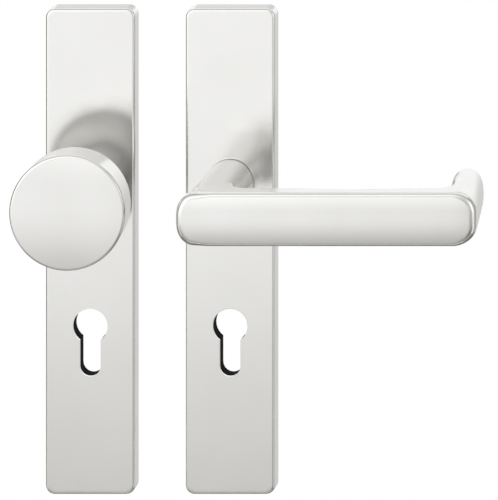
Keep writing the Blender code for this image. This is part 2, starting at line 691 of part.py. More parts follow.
def lock_pin_cutter():
    """Drill for the pin through plate, base and neck."""
    radius = LOCK_PIN_DIAMETER / 2 + CLOSE_GAP
    front = NECK_SEAT - LOCK_PIN_IN_NECK - FIT_GAP
    return turned("pin_hole", [(radius, front), (radius, PAST)], SMALL_CIRCLE_STEPS, z=lock_pin_place())


def knob_base_plate(unit):
    """Black nylon base of the knob's plate, with the bolt's seat, the sleeve seats and ribs behind."""
    base = base_block("knob_base_plate")
    washer_front = knob_bolt_levels()[2]
    seat, bore = KNOB_WASHER_DIAMETER / 2 + FIT_GAP, KNOB_BOLT_DIAMETER / 2 + FIT_GAP
    level = washer_front - CLOSE_GAP
    spigot = KNOB_SPIGOT_DIAMETER / 2 + CLOSE_GAP
    mouth = (BASE_FRONT + level) / 2 + CLOSE_GAP
    profile = [(spigot, BASE_FRONT - PAST), (spigot, mouth), (bore, mouth)]
    profile += [(bore, level), (seat, level), (seat, PAST)]
    cutters = [turned("bolt_seat", profile), lock_pin_cutter()]
    for z in BOLT_HEIGHTS.values():
        flange, barrel = SLEEVE_FLANGE_DIAMETER / 2 + FIT_GAP, SLEEVE_DIAMETER / 2 + CLOSE_GAP
        under = BASE_FRONT + SLEEVE_FLANGE_HEIGHT + 2 * FIT_GAP
        profile = [(flange, BASE_FRONT - PAST), (flange, under), (barrel, under), (barrel, PAST)]
        cutters.append(turned("sleeve_seat", profile, SMALL_CIRCLE_STEPS, z=z))
    cut(base, *cutters)
    cutout_top = CUTOUT_CENTRE + CUTOUT_DIAMETER / 2
    cutout_bottom = CUTOUT_CENTRE - CUTOUT_DROP
    margin = KNOB_WASHER_DIAMETER / 2 + 3 * RIB_THICKNESS
    back_pockets(base, margin, BOLT_HEIGHTS["upper"] - SLEEVE_FLANGE_DIAMETER)
    back_pockets(base, cutout_top + 4 * RIB_THICKNESS, -margin)
    back_pockets(base, BOLT_HEIGHTS["lower"] + SLEEVE_FLANGE_DIAMETER, cutout_bottom - 2 * RIB_THICKNESS)
    return place(base, unit, "black_nylon")


def sleeve_nuts(unit):
    """Threaded sleeves in the knob's base that take the through bolts."""
    flange, barrel, bore = SLEEVE_FLANGE_DIAMETER / 2, SLEEVE_DIAMETER / 2, SLEEVE_BORE / 2
    front = BASE_FRONT + FIT_GAP
    under = front + SLEEVE_FLANGE_HEIGHT
    back = SLEEVE_BEHIND_DOOR_FACE
    profile = [(bore, under), (bore, back), (barrel, back), (barrel, under), (flange, under), (flange, front)]
    for name, z in BOLT_HEIGHTS.items():
        place(turned(f"sleeve_nut_{name}", profile, SMALL_CIRCLE_STEPS, z=z), unit, "zinc_steel")


def knob_levels():
    """Y of the knob's front edge, its rear edge and the front of its back disc."""
    front = COVER_FRONT - KNOB_STANDOFF
    rear = front + KNOB_RIM_DEPTH
    return front, rear, rear - FIT_GAP - KNOB_DISC_THICKNESS


def knob_head(unit):
    """Pressed aluminium cap with a slightly crowned front and rounded edges, open at the back."""
    front, rear, _ = knob_levels()
    radius, rear_radius, edge = KNOB_DIAMETER / 2, KNOB_REAR_DIAMETER / 2, KNOB_EDGE_RADIUS
    inside = rear_radius - KNOB_WALL
    profile = [(inside, front + KNOB_WALL), (inside, rear)]
    for i in range(EDGE_STEPS + 1):
        a = math.pi / 2 * i / EDGE_STEPS
        profile.append((rear_radius - edge * (1 - math.sin(a)), rear - edge * (1 - math.cos(a))))
    for i in range(EDGE_STEPS + 1):
        a = math.pi / 2 * i / EDGE_STEPS
        profile.append((radius - edge * (1 - math.cos(a)), front + edge * (1 - math.sin(a))))
    for i in range(1, CROWN_STEPS + 1):
        share = 1 - CROWN_CLOSURE * i / CROWN_STEPS
        profile.append(((radius - edge) * share, front - KNOB_CROWN * (1 - share ** 2)))
    place(turned("knob_head", profile, KNOB_STEPS), unit, "satin_aluminium")


def knob_back_disc(unit):
    """Disc pressed into the back of the cap, clamped on the neck."""
    _, rear, disc_front = knob_levels()
    bore = KNOB_THREAD_DIAMETER / 2 + CLOSE_GAP
    outer = KNOB_REAR_DIAMETER / 2 - KNOB_WALL - FIT_GAP
    disc = turned_ring("knob_back_disc", bore, outer, disc_front, disc_front + KNOB_DISC_THICKNESS)
    place(disc, unit, "satin_aluminium")


def knob_neck(unit):
    """Turned neck with a spigot into the plate, a threaded end in the knob and a bore for the bolt."""
    disc_front = knob_levels()[2]
    disc_back = disc_front + KNOB_DISC_THICKNESS + FIT_GAP
    neck, waist = KNOB_NECK_DIAMETER / 2, KNOB_NECK_WAIST / 2
    spigot, thread = KNOB_SPIGOT_DIAMETER / 2, KNOB_THREAD_DIAMETER / 2
    bore = KNOB_BOLT_DIAMETER / 2 + CLOSE_GAP
    washer_front = knob_bolt_levels()[2]
    spigot_end = (BASE_FRONT + washer_front - CLOSE_GAP) / 2
    bore_end = COVER_FRONT - KNOB_BOLT_IN_NECK - 2 * FIT_GAP
    thread_end = disc_front - FIT_GAP - KNOB_NUT_HEIGHT
    profile = [(bore, bore_end), (bore, spigot_end), (spigot, spigot_end), (spigot, NECK_SEAT)]
    length = disc_back - NECK_SEAT
    for i in range(WAIST_STEPS + 1):
        share = i / WAIST_STEPS
        radius = neck - (neck - waist) * math.sin(math.pi * share)
        profile.append((radius, NECK_SEAT + length * share))
    profile += [(thread, disc_back), (thread, thread_end)]
    piece = turned("knob_neck", profile)
    cut(piece, lock_pin_cutter())
    place(piece, unit, "satin_aluminium")


def knob_nut(unit):
    """Hexagon nut inside the cap that clamps the disc on the neck."""
    back = knob_levels()[2] - FIT_GAP
    nut = prism("knob_nut", hexagon(KNOB_NUT_WIDTH), back - KNOB_NUT_HEIGHT, back)
    bore = KNOB_THREAD_DIAMETER / 2 + CLOSE_GAP
    cut(nut, turned("nut_bore", [(bore, back - KNOB_NUT_HEIGHT - PAST), (bore, back + PAST)]))
    place(nut, unit, "zinc_steel")


def knob_bolt(unit):
    """Hexagon bolt from behind the base into the neck, its washer, and the pin beside it."""
    head_back, washer_back, washer_front = knob_bolt_levels()
    head_front = head_back - KNOB_BOLT_HEAD_HEIGHT
    end = COVER_FRONT - KNOB_BOLT_IN_NECK
    shank, chamfer = KNOB_BOLT_DIAMETER / 2, KNOB_BOLT_CHAMFER
    profile = [(shank - chamfer, end), (shank, end + chamfer), (shank, head_front)]
    rings = [circle(radius, y, HEX_STEPS) for radius, y in profile]
    hexagonal = []
    for x, _, z in circle(KNOB_BOLT_HEAD_WIDTH / 2, 0.0, HEX_STEPS):
        a = math.atan2(z, x) % (math.pi / 3) - math.pi / 6
        hexagonal.append((x / math.cos(a), z / math.cos(a)))
    rings += [[(x, y, z) for x, z in hexagonal] for y in (head_front, head_back)]
    place(loft("knob_bolt", rings), unit, "zinc_steel")
    bore, outer = shank + CLOSE_GAP, KNOB_WASHER_DIAMETER / 2
    washer = turned_ring("knob_bolt_washer", bore, outer, washer_front, washer_back)
    place(washer, unit, "zinc_steel")
    front, back = NECK_SEAT - LOCK_PIN_IN_NECK, washer_front - 2 * CLOSE_GAP
    radius = LOCK_PIN_DIAMETER / 2
    pin = turned("knob_lock_pin", [(radius, front), (radius, back)], SMALL_CIRCLE_STEPS, z=lock_pin_place())
    place(pin, unit, "zinc_steel")


def build_knob_unit():
    unit = add_unit("knob_unit", -UNIT_SPACING)
    cover = cover_plate("knob_cover_plate", unit, KNOB_SPIGOT_DIAMETER + 2 * CLOSE_GAP)
    drill = lock_pin_cutter()
    drill.parent = unit
    cut(cover, drill)
    knob_base_plate(unit)
    cover_clips("knob", unit)
    sleeve_nuts(unit)
    knob_neck(unit)
    knob_bolt(unit)
    knob_back_disc(unit)
    knob_nut(unit)
    knob_head(unit)


def build_lever_unit():
    unit = add_unit("lever_unit", 0.0)
    axis = add_unit("lever_axis", 0.0)
    lower, upper = add_unit("plunger_lower_slide", 0.0), add_unit("plunger_upper_slide", 0.0)
    bush_outer = SPIGOT_DIAMETER + 2 * (CLOSE_GAP + BUSH_WALL + CLOSE_GAP)
    cover_plate("lever_cover_plate", unit, bush_outer)
    lever_base_plate(unit)
    cover_clips("lever", unit)
    through_bolts(unit)
    lever_guide_bush(unit)
    mechanism_cover(unit)
    spring_parts(unit, lower, upper)
    spring_driver(axis)
    thrust_washer(axis)
    spindle(axis)
    lever_handle(axis)
    grub_screw(axis)


clear_scene()
build_knob_unit()
build_lever_unit()
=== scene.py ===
"""Looks of the door furniture set: a knob plate and a lever plate in satin anodised aluminium."""
import math

import bmesh
import bpy
from mathutils import Matrix, Vector


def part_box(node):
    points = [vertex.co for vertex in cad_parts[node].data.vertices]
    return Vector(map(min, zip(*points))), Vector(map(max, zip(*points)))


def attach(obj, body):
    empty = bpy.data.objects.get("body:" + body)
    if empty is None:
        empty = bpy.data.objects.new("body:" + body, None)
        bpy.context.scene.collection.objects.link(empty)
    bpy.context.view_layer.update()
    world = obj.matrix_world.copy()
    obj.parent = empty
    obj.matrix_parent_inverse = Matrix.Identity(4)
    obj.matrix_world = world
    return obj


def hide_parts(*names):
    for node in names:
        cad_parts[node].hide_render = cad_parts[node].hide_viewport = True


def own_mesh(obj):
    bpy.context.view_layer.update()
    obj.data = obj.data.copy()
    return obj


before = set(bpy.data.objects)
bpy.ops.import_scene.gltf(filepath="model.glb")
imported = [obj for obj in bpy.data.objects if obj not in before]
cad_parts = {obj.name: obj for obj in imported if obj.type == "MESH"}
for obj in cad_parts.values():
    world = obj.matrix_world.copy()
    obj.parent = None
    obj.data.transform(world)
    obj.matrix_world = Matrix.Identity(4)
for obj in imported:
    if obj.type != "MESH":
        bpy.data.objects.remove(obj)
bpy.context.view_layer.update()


# Moulded base plates
# Each backplate has a base of black glass-filled nylon behind its cover, injection moulded with ribs
# and pockets at the back. It is clamped to the door and carries everything else.
BASE_EDGE = 0.00025
NOISE_MIDDLE = (0.3, 0.7)
MERGE_DISTANCE = 1e-6
FLAT_ANGLE = math.radians(0.5)
BROKEN_ANGLE = math.radians(38)
BROKEN_STEPS = 2
FACE_WEIGHT = 100


def finish_nodes(name, colour, metallic, roughness):
    """A material with its plain values on the shader, and its Object coordinates for patterns."""
    finish = bpy.data.materials.new(name)
    finish.use_nodes = True
    tree = finish.node_tree
    shader = tree.nodes["Principled BSDF"]
    shader.inputs["Base Color"].default_value = (*colour, 1.0)
    shader.inputs["Metallic"].default_value = metallic
    shader.inputs["Roughness"].default_value = roughness
    coords = tree.nodes.new("ShaderNodeTexCoord").outputs["Object"]
    return finish, tree, shader, coords


def grain(tree, coords, grains_per_metre, stretch=(1.0, 1.0, 1.0), detail=3.0):
    """Even noise, stretched along an axis where its factor is below one."""
    mapping = tree.nodes.new("ShaderNodeMapping")
    mapping.inputs["Scale"].default_value = stretch
    noise = tree.nodes.new("ShaderNodeTexNoise")
    noise.inputs["Scale"].default_value = grains_per_metre
    noise.inputs["Detail"].default_value = detail
    tree.links.new(coords, mapping.inputs["Vector"])
    tree.links.new(mapping.outputs["Vector"], noise.inputs["Vector"])
    return noise.outputs["Fac"]


def spread(tree, field, low, high):
    """The middle of a noise field spread from low to high."""
    ramp = tree.nodes.new("ShaderNodeMapRange")
    ramp.inputs["From Min"].default_value = NOISE_MIDDLE[0]
    ramp.inputs["From Max"].default_value = NOISE_MIDDLE[1]
    ramp.inputs["To Min"].default_value = low
    ramp.inputs["To Max"].default_value = high
    tree.links.new(field, ramp.inputs["Value"])
    return ramp.outputs["Result"]


def tint(tree, shader, field, dark, light):
    """Base colour that drifts between two close tones."""
    tones = tree.nodes.new("ShaderNodeMix")
    tones.data_type = "RGBA"
    tones.inputs["A"].default_value = (*dark, 1.0)
    tones.inputs["B"].default_value = (*light, 1.0)
    tree.links.new(spread(tree, field, 0.0, 1.0), tones.inputs["Factor"])
    tree.links.new(tones.outputs["Result"], shader.inputs["Base Color"])


def roughen(tree, shader, field, smooth, rough):
    """Roughness that drifts between two values."""
    tree.links.new(spread(tree, field, smooth, rough), shader.inputs["Roughness"])


def emboss(tree, shader, field, depth, strength):
    """Relief of the given depth in metres."""
    bump = tree.nodes.new("ShaderNodeBump")
    bump.inputs["Strength"].default_value = strength
    bump.inputs["Distance"].default_value = depth
    tree.links.new(field, bump.inputs["Height"])
    tree.links.new(bump.outputs["Normal"], shader.inputs["Normal"])


def black_nylon():
    """Spark-eroded mould texture, a little shinier where the melt met the steel."""
    dark, light = (0.004, 0.004, 0.0045), (0.008, 0.008, 0.0085)
    finish, tree, shader, coords = finish_nodes("black_nylon", light, 0.0, 0.5)
    shader.inputs["Specular IOR Level"].default_value = 0.05
    tint(tree, shader, grain(tree, coords, 60.0), dark, light)
    skin = grain(tree, coords, 3200.0, detail=4.0)
    roughen(tree, shader, skin, 0.70, 0.85)
    emboss(tree, shader, skin, depth=0.00006, strength=0.5)
    return finish


def eased_copy(name, node, width, finish):
    """The solid with its triangles joined into whole faces and its sharp edges broken."""
    shape = bmesh.new()
    shape.from_mesh(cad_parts[node].data)
    bmesh.ops.remove_doubles(shape, verts=shape.verts, dist=MERGE_DISTANCE)
    bmesh.ops.dissolve_limit(shape, angle_limit=FLAT_ANGLE, verts=shape.verts, edges=shape.edges)
    bmesh.ops.connect_verts_concave(shape, faces=shape.faces)
    mesh = bpy.data.meshes.new(name)
    shape.to_mesh(mesh)
    shape.free()
    piece = bpy.data.objects.new(name, mesh)
    bpy.context.scene.collection.objects.link(piece)
    bevel = piece.modifiers.new("broken edges", "BEVEL")
    bevel.width = width
    bevel.segments = BROKEN_STEPS
    bevel.limit_method = "ANGLE"
    bevel.angle_limit = BROKEN_ANGLE
    bevel.miter_outer = "MITER_ARC"
    settle(piece, finish)
    return piece


def settle(piece, finish):
    """Applies the piece's modifiers, with normals that keep flat faces flat, and gives it its finish."""
    piece.data.shade_smooth()
    weighted = piece.modifiers.new("flat faces", "WEIGHTED_NORMAL")
    weighted.weight = FACE_WEIGHT
    weighted.keep_sharp = True
    bpy.context.view_layer.update()
    shaped = piece.evaluated_get(bpy.context.evaluated_depsgraph_get())
    mesh = bpy.data.meshes.new_from_object(shaped)
    piece.modifiers.clear()
    piece.data = mesh
    mesh.name = piece.name
    mesh.materials.clear()
    mesh.materials.append(finish)


def stands_for(piece, node, body):
    """Hides the solid behind the piece, which rides on the same body."""
    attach(piece, body)
    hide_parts(node)


nylon = black_nylon()
for side in ("knob", "lever"):
    base = eased_copy(f"moulded_{side}_base", f"{side}_base_plate", BASE_EDGE, nylon)
    stands_for(base, f"{side}_base_plate", "plates")


# Cover clips
# Four folded strips of blued spring steel sit in pockets along each base and press outwards, so the
# cover snaps on and can be lifted off again to reach the bolts.
CLIP_EDGE = 0.00006
CLIP_COUNT = 4


def spring_steel():
    """Rolled strip and drawn wire: dark, with fine lines along the length."""
    finish, tree, shader, coords = finish_nodes("spring_steel", (0.42, 0.43, 0.45), 1.0, 0.32)
    tint(tree, shader, grain(tree, coords, 500.0), (0.36, 0.37, 0.40), (0.45, 0.46, 0.48))
    lines = grain(tree, coords, 5000.0, stretch=(1.0, 1.0, 0.05))
    roughen(tree, shader, lines, 0.26, 0.40)
    emboss(tree, shader, lines, depth=0.00001, strength=0.3)
    return finish


spring_metal = spring_steel()
for side in ("knob", "lever"):
    for number in range(1, CLIP_COUNT + 1):
        node = f"{side}_cover_clip_{number}"
        clip = eased_copy(f"folded_{side}_clip_{number}", node, CLIP_EDGE, spring_metal)
        stands_for(clip, node, "plates")


# Return springs
# Two coils of drawn spring wire lie in channels of the lever's base. Each pushes its plunger against
# an arm of the driver, and shortens when the lever is pressed down.
WIRE_DIAMETER = 0.0006
SPRING_TURNS = 9.0
WIRE_SIDES = 10
STEPS_PER_TURN = 28
SHARP_ANGLE = math.radians(32)


def new_tree(name, inputs):
    """A geometry node tree with the named inputs, its group input node and a socket to end in."""
    tree = bpy.data.node_groups.new(name, "GeometryNodeTree")
    tree.interface.new_socket("Geometry", in_out="INPUT", socket_type="NodeSocketGeometry")
    for label, kind in inputs.items():
        tree.interface.new_socket(label, in_out="INPUT", socket_type="NodeSocket" + kind)
    tree.interface.new_socket("Geometry", in_out="OUTPUT", socket_type="NodeSocketGeometry")
    given = tree.nodes.new("NodeGroupInput").outputs
    return tree, given


def end_tree(tree, given, geometry):
    """Realises the instances, sets the material and leads to the output."""
    realize = tree.nodes.new("GeometryNodeRealizeInstances")
    paint = tree.nodes.new("GeometryNodeSetMaterial")
    tree.links.new(geometry, realize.inputs["Geometry"])
    tree.links.new(realize.outputs["Geometry"], paint.inputs["Geometry"])
    tree.links.new(given["Finish"], paint.inputs["Material"])
    tree.links.new(paint.outputs["Geometry"], tree.nodes.new("NodeGroupOutput").inputs["Geometry"])


def grow(name, tree, source, sizes):
    """A plain mesh piece from a tree, with its inputs set by their identifiers."""
    piece = bpy.data.objects.new(name, source)
    bpy.context.scene.collection.objects.link(piece)
    modifier = piece.modifiers.new(tree.name, "NODES")
    modifier.node_group = tree
    for item in tree.interface.items_tree:
        if item.in_out == "INPUT" and item.name in sizes:
            modifier[item.identifier] = sizes[item.name]
    settle(piece, sizes["Finish"])
    shape = bmesh.new()
    shape.from_mesh(piece.data)
    bmesh.ops.remove_doubles(shape, verts=shape.verts, dist=MERGE_DISTANCE)
    bmesh.ops.recalc_face_normals(shape, faces=shape.faces)
    shape.to_mesh(piece.data)
    shape.free()
    piece.data.set_sharp_from_angle(angle=SHARP_ANGLE)
    return piece


def wound_tree():
    """Wire of any section wound on a cylinder, such as a spring or the ridge of a thread."""
    inputs = {"Coil radius": "Float", "Wire radius": "Float", "Wire sides": "Int", "Turns": "Float"}
    inputs.update({"Steps per turn": "Int", "Length": "Float", "Turned": "Rotation"})
    inputs.update({"Place": "Vector", "Finish": "Material"})
    tree, given = new_tree("wound wire", inputs)
    spiral = tree.nodes.new("GeometryNodeCurveSpiral")
    wire = tree.nodes.new("GeometryNodeCurvePrimitiveCircle")
    skin = tree.nodes.new("GeometryNodeCurveToMesh")
    place = tree.nodes.new("GeometryNodeTransform")
    for label in ("Start Radius", "End Radius"):
        tree.links.new(given["Coil radius"], spiral.inputs[label])
    tree.links.new(given["Steps per turn"], spiral.inputs["Resolution"])
    tree.links.new(given["Turns"], spiral.inputs["Rotations"])
    tree.links.new(given["Length"], spiral.inputs["Height"])
    tree.links.new(given["Wire radius"], wire.inputs["Radius"])
    tree.links.new(given["Wire sides"], wire.inputs["Resolution"])
    tree.links.new(spiral.outputs["Curve"], skin.inputs["Curve"])
    tree.links.new(wire.outputs["Curve"], skin.inputs["Profile Curve"])
    skin.inputs["Fill Caps"].default_value = True
    tree.links.new(skin.outputs["Mesh"], place.inputs["Geometry"])
    tree.links.new(given["Place"], place.inputs["Translation"])
    tree.links.new(given["Turned"], place.inputs["Rotation"])
    end_tree(tree, given, place.outputs["Geometry"])
    return tree


wound = wound_tree()
for level in ("lower", "upper"):
    low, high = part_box(f"return_spring_{level}")
    coil = (high.y - low.y) / 2 - WIRE_DIAMETER / 2
    spring = grow(
        f"coil_spring_{level}",
        wound,
        bpy.data.meshes.new("wire"),
        {
            "Coil radius": coil,
            "Wire radius": WIRE_DIAMETER / 2,
            "Wire sides": WIRE_SIDES,
            "Turns": SPRING_TURNS,
            "Steps per turn": STEPS_PER_TURN,
            "Length": high.z - low.z - WIRE_DIAMETER,
            "Place": ((low.x + high.x) / 2, (low.y + high.y) / 2, low.z + WIRE_DIAMETER / 2),
            "Finish": spring_metal,
        },
    )
    stands_for(spring, f"return_spring_{level}", "plates")
    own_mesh(spring)


# Driver, plungers and washers
# The driver is die-cast zinc, broached for the spindle. Plungers, thrust washer and guide bush are
# natural acetal, which runs dry against the nylon and the metal.
CAST_EDGE = 0.0002
ACETAL_EDGE = 0.00015


def cast_zinc():
    """As-cast skin with a faint pebble and duller patches."""
    finish, tree, shader, coords = finish_nodes("cast_zinc", (0.50, 0.51, 0.53), 1.0, 0.48)
    tint(tree, shader, grain(tree, coords, 250.0), (0.44, 0.45, 0.47), (0.53, 0.54, 0.56))
    skin = grain(tree, coords, 2400.0)
    roughen(tree, shader, skin, 0.40, 0.56)
    emboss(tree, shader, skin, depth=0.00004, strength=0.4)
    return finish


def natural_acetal():
    """Milky plastic with a waxy skin."""
    finish, tree, shader, coords = finish_nodes("natural_acetal", (0.80, 0.79, 0.75), 0.0, 0.42)
    shader.inputs["Subsurface Weight"].default_value = 0.15
    shader.inputs["Subsurface Radius"].default_value = (0.002, 0.0018, 0.0015)
    tint(tree, shader, grain(tree, coords, 120.0), (0.76, 0.75, 0.70), (0.82, 0.81, 0.77))
    roughen(tree, shader, grain(tree, coords, 1800.0), 0.36, 0.50)
    return finish


zinc_casting = cast_zinc()
acetal = natural_acetal()
driver = eased_copy("cast_driver", "spring_driver", CAST_EDGE, zinc_casting)
stands_for(driver, "spring_driver", "lever")
for name, node, body in (
    ("running_washer", "thrust_washer", "lever"),
    ("running_bush", "lever_guide_bush", "plates"),
    ("sprung_plunger_lower", "spring_plunger_lower", "plunger_lower"),
    ("sprung_plunger_upper", "spring_plunger_upper", "plunger_upper"),
):
    stands_for(eased_copy(name, node, ACETAL_EDGE, acetal), node, body)


# Mechanism sheet and its screws
# A zinc-plated steel sheet closes the spring channels from behind. Four small countersunk screws with
# crossed slots hold it in the nylon.
SHEET_EDGE = 0.00015
SCREW_COUNT = 4
SCREW_SHANK_RADIUS = 0.001
SCREW_POINT_RADIUS = 0.0005
SCREW_POINT_LENGTH = 0.001
SCREW_HEAD_RADIUS = 0.002
SCREW_RIM = 0.00006
SCREW_SIDES = 48
SLOT_LENGTH = 0.0022
SLOT_WIDTH = 0.0008
SLOT_DEPTH = 0.0007
CORE_RADIUS = 0.001
QUARTER_TURN = math.pi / 2


def zinc_plate():
    """Bright zinc plating: bluish, with faint cloudy bands and a fine rolled grain."""
    finish, tree, shader, coords = finish_nodes("zinc_plate", (0.62, 0.63, 0.64), 1.0, 0.34)
    clouds = grain(tree, coords, 90.0, stretch=(1.0, 1.0, 0.4))
    tint(tree, shader, clouds, (0.56, 0.57, 0.59), (0.67, 0.675, 0.68))
    lines = grain(tree, coords, 2600.0, stretch=(1.0, 1.0, 0.06))
    roughen(tree, shader, lines, 0.28, 0.42)
    emboss(tree, shader, lines, depth=0.00001, strength=0.35)
    return finish


def spun(tree, given):
    """The incoming profile, drawn beside a core circle, spun about Z."""
    line = tree.nodes.new("GeometryNodeMeshToCurve")
    core = tree.nodes.new("GeometryNodeCurvePrimitiveCircle")
    skin = tree.nodes.new("GeometryNodeCurveToMesh")
    tree.links.new(given["Geometry"], line.inputs["Mesh"])
    tree.links.new(given["Sides"], core.inputs["Resolution"])
    tree.links.new(given["Core radius"], core.inputs["Radius"])
    tree.links.new(core.outputs["Curve"], skin.inputs["Curve"])
    tree.links.new(line.outputs["Curve"], skin.inputs["Profile Curve"])
    return skin.outputs["Mesh"]


def laid(tree, given, geometry):
    """Lays what stands along Z along Y, and sets it in its place."""
    place = tree.nodes.new("GeometryNodeTransform")
    place.inputs["Rotation"].default_value = (-QUARTER_TURN, 0.0, 0.0)
    tree.links.new(geometry, place.inputs["Geometry"])
    tree.links.new(given["Axis"], place.inputs["Translation"])
    return place.outputs["Geometry"]


def screws_tree():
    """A turned screw with crossed slots in its head, at the four corners of a rectangle."""
    inputs = {"Sides": "Int", "Core radius": "Float", "Axis": "Vector", "Slots": "Vector"}
    inputs.update({"Across": "Float", "Up": "Float", "Finish": "Material"})
    tree, given = new_tree("countersunk screws", inputs)
    closed = tree.nodes.new("GeometryNodeMergeByDistance")
    closed.inputs["Distance"].default_value = MERGE_DISTANCE
    tree.links.new(spun(tree, given), closed.inputs["Geometry"])
    recess = tree.nodes.new("GeometryNodeMeshBoolean")
    recess.operation = "DIFFERENCE"
    recess.solver = "MANIFOLD"
    tree.links.new(closed.outputs["Geometry"], recess.inputs["Mesh 1"])
    for turn in (0.0, QUARTER_TURN):
        slot = tree.nodes.new("GeometryNodeMeshCube")
        crossed = tree.nodes.new("GeometryNodeTransform")
        crossed.inputs["Rotation"].default_value = (0.0, 0.0, turn)
        tree.links.new(given["Slots"], slot.inputs["Size"])
        tree.links.new(slot.outputs["Mesh"], crossed.inputs["Geometry"])
        tree.links.new(crossed.outputs["Geometry"], recess.inputs["Mesh 2"])
    corners = tree.nodes.new("GeometryNodeMeshGrid")
    corners.inputs["Vertices X"].default_value = 2
    corners.inputs["Vertices Y"].default_value = 2
    tree.links.new(given["Across"], corners.inputs["Size X"])
    tree.links.new(given["Up"], corners.inputs["Size Y"])
    repeat = tree.nodes.new("GeometryNodeInstanceOnPoints")
    tree.links.new(corners.outputs["Mesh"], repeat.inputs["Points"])
    tree.links.new(recess.outputs["Mesh"], repeat.inputs["Instance"])
    end_tree(tree, given, laid(tree, given, repeat.outputs["Instances"]))
    return tree


def profile_line(name, profile, ring=False):
    """A line of (radius, y) points, laid out from the core circle for spinning."""
    line = bpy.data.meshes.new(name)
    edges = [(i, i + 1) for i in range(len(profile) - 1)]
    if ring:
        edges.append((len(profile) - 1, 0))
    line.from_pydata([(radius - CORE_RADIUS, -y, 0.0) for radius, y in profile], edges, [])
    return line


plated_steel = zinc_plate()
sheet = eased_copy("plated_mechanism_sheet", "mechanism_cover", SHEET_EDGE, plated_steel)
stands_for(sheet, "mechanism_cover", "plates")
mechanism_screws = [f"mechanism_screw_{number}" for number in range(1, SCREW_COUNT + 1)]
boxes = [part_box(node) for node in mechanism_screws]
middles = [(low + high) / 2 for low, high in boxes]
centre_x, centre_z = (sum(middle[axis] for middle in middles) / len(middles) for axis in (0, 2))
tip, back = boxes[0][0].y, boxes[0][1].y
profile = [
    (0.0, tip - back),
    (SCREW_POINT_RADIUS, tip - back),
    (SCREW_SHANK_RADIUS, tip - back + SCREW_POINT_LENGTH),
    (SCREW_SHANK_RADIUS, SCREW_SHANK_RADIUS - SCREW_HEAD_RADIUS),
    (SCREW_HEAD_RADIUS - SCREW_RIM, -SCREW_RIM),
    (SCREW_HEAD_RADIUS - 2 * SCREW_RIM, 0.0),
    (0.0, 0.0),
]
screws = grow(
    "countersunk_screws",
    screws_tree(),
    profile_line("screw_profile", profile),
    {
        "Sides": SCREW_SIDES,
        "Core radius": CORE_RADIUS,
        "Axis": (centre_x, back, centre_z),
        "Slots": (SLOT_LENGTH, SLOT_WIDTH, 2 * SLOT_DEPTH),
        "Across": 2 * abs(middles[0].x - centre_x),
        "Up": 2 * abs(middles[0].z - centre_z),
        "Finish": plated_steel,
    },
)
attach(screws, "plates")
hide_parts(*mechanism_screws)


# Through bolts and sleeves
# Two machine screws go from the lever's base through the door into flanged sleeves, which belong in
# the knob's base. Their shanks have a rolled thread.
BOLT_RADIUS = 0.0025
THREAD_PITCH = 0.0008
THREAD_DEPTH = 0.00045
THREAD_START = 0.004
THREAD_RUNOUT = 0.0016
THREAD_SIDES = 4
THREAD_STEPS = 18
HEAD_EDGE = 0.0002
SLEEVE_EDGE = 0.0002

for level in ("upper", "lower"):
    low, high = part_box(f"through_bolt_{level}")
    x, z = (low.x + high.x) / 2, (low.z + high.z) / 2
    bolt = eased_copy(f"machine_screw_{level}", f"through_bolt_{level}", HEAD_EDGE, plated_steel)
    stands_for(bolt, f"through_bolt_{level}", "plates")
    length = high.y - THREAD_START - THREAD_RUNOUT
    thread = grow(
        f"rolled_thread_{level}",
        wound,
        bpy.data.meshes.new("ridge"),
        {
            "Coil radius": BOLT_RADIUS,
            "Wire radius": THREAD_DEPTH / 2,
            "Wire sides": THREAD_SIDES,
            "Turns": length / THREAD_PITCH,
            "Steps per turn": THREAD_STEPS,
            "Length": length,
            "Turned": (-QUARTER_TURN, 0.0, 0.0),
            "Place": (x, THREAD_START, z),
            "Finish": plated_steel,
        },
    )
    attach(thread, "plates")
    sleeve = eased_copy(f"flanged_sleeve_{level}", f"sleeve_nut_{level}", SLEEVE_EDGE, plated_steel)
    stands_for(sleeve, f"sleeve_nut_{level}", "plates")


# Cover plates
# Each visible backplate is a tray pressed from aluminium sheet, with its front edge rolled round and
# its cylinder cut-out punched, then blasted and anodised to an even satin silver.
COVER_WALL = 0.0016
ROLLED_EDGE = 0.0015
CORNER_RADIUS = 0.0045
CORNER_STEPS = 14
ROLL_STEPS = 10
PUNCHED_EDGE = 0.0003
PUNCHED_STEPS = 3
PUNCHED_ANGLE = math.radians(50)
PUNCH_PAST = 0.003
LEAST_CORNER = 0.0008
KNOB_NECK_HOLE = 0.0165
LEVER_NECK_HOLE = 0.0206
ROUND_STEPS = 64
CYLINDER_BELOW_AXIS = 0.072
CUTOUT_DIAMETER = 0.0175
CUTOUT_SLOT_WIDTH = 0.0105
CUTOUT_DROP = 0.02525
SLOT_END_STEPS = 24


def satin_aluminium(name, dark, light, smooth=0.16, rough=0.21):
    """Blasted and anodised silver: near white, with a grain too fine to see from a step away."""
    finish, tree, shader, coords = finish_nodes(name, light, 1.0, rough)
    tint(tree, shader, grain(tree, coords, 25.0), dark, light)
    skin = grain(tree, coords, 7000.0)
    roughen(tree, shader, skin, smooth, rough)
    emboss(tree, shader, skin, depth=0.000004, strength=0.25)
    return finish


def quarter(steps):
    """Angles over a quarter turn, both ends included."""
    return [QUARTER_TURN * i / steps for i in range(steps + 1)]


def circle(radius, x, y, steps):
    """Points round a circle."""
    turns = [2 * math.pi * i / steps for i in range(steps)]
    return [(x + radius * math.cos(a), y + radius * math.sin(a)) for a in turns]


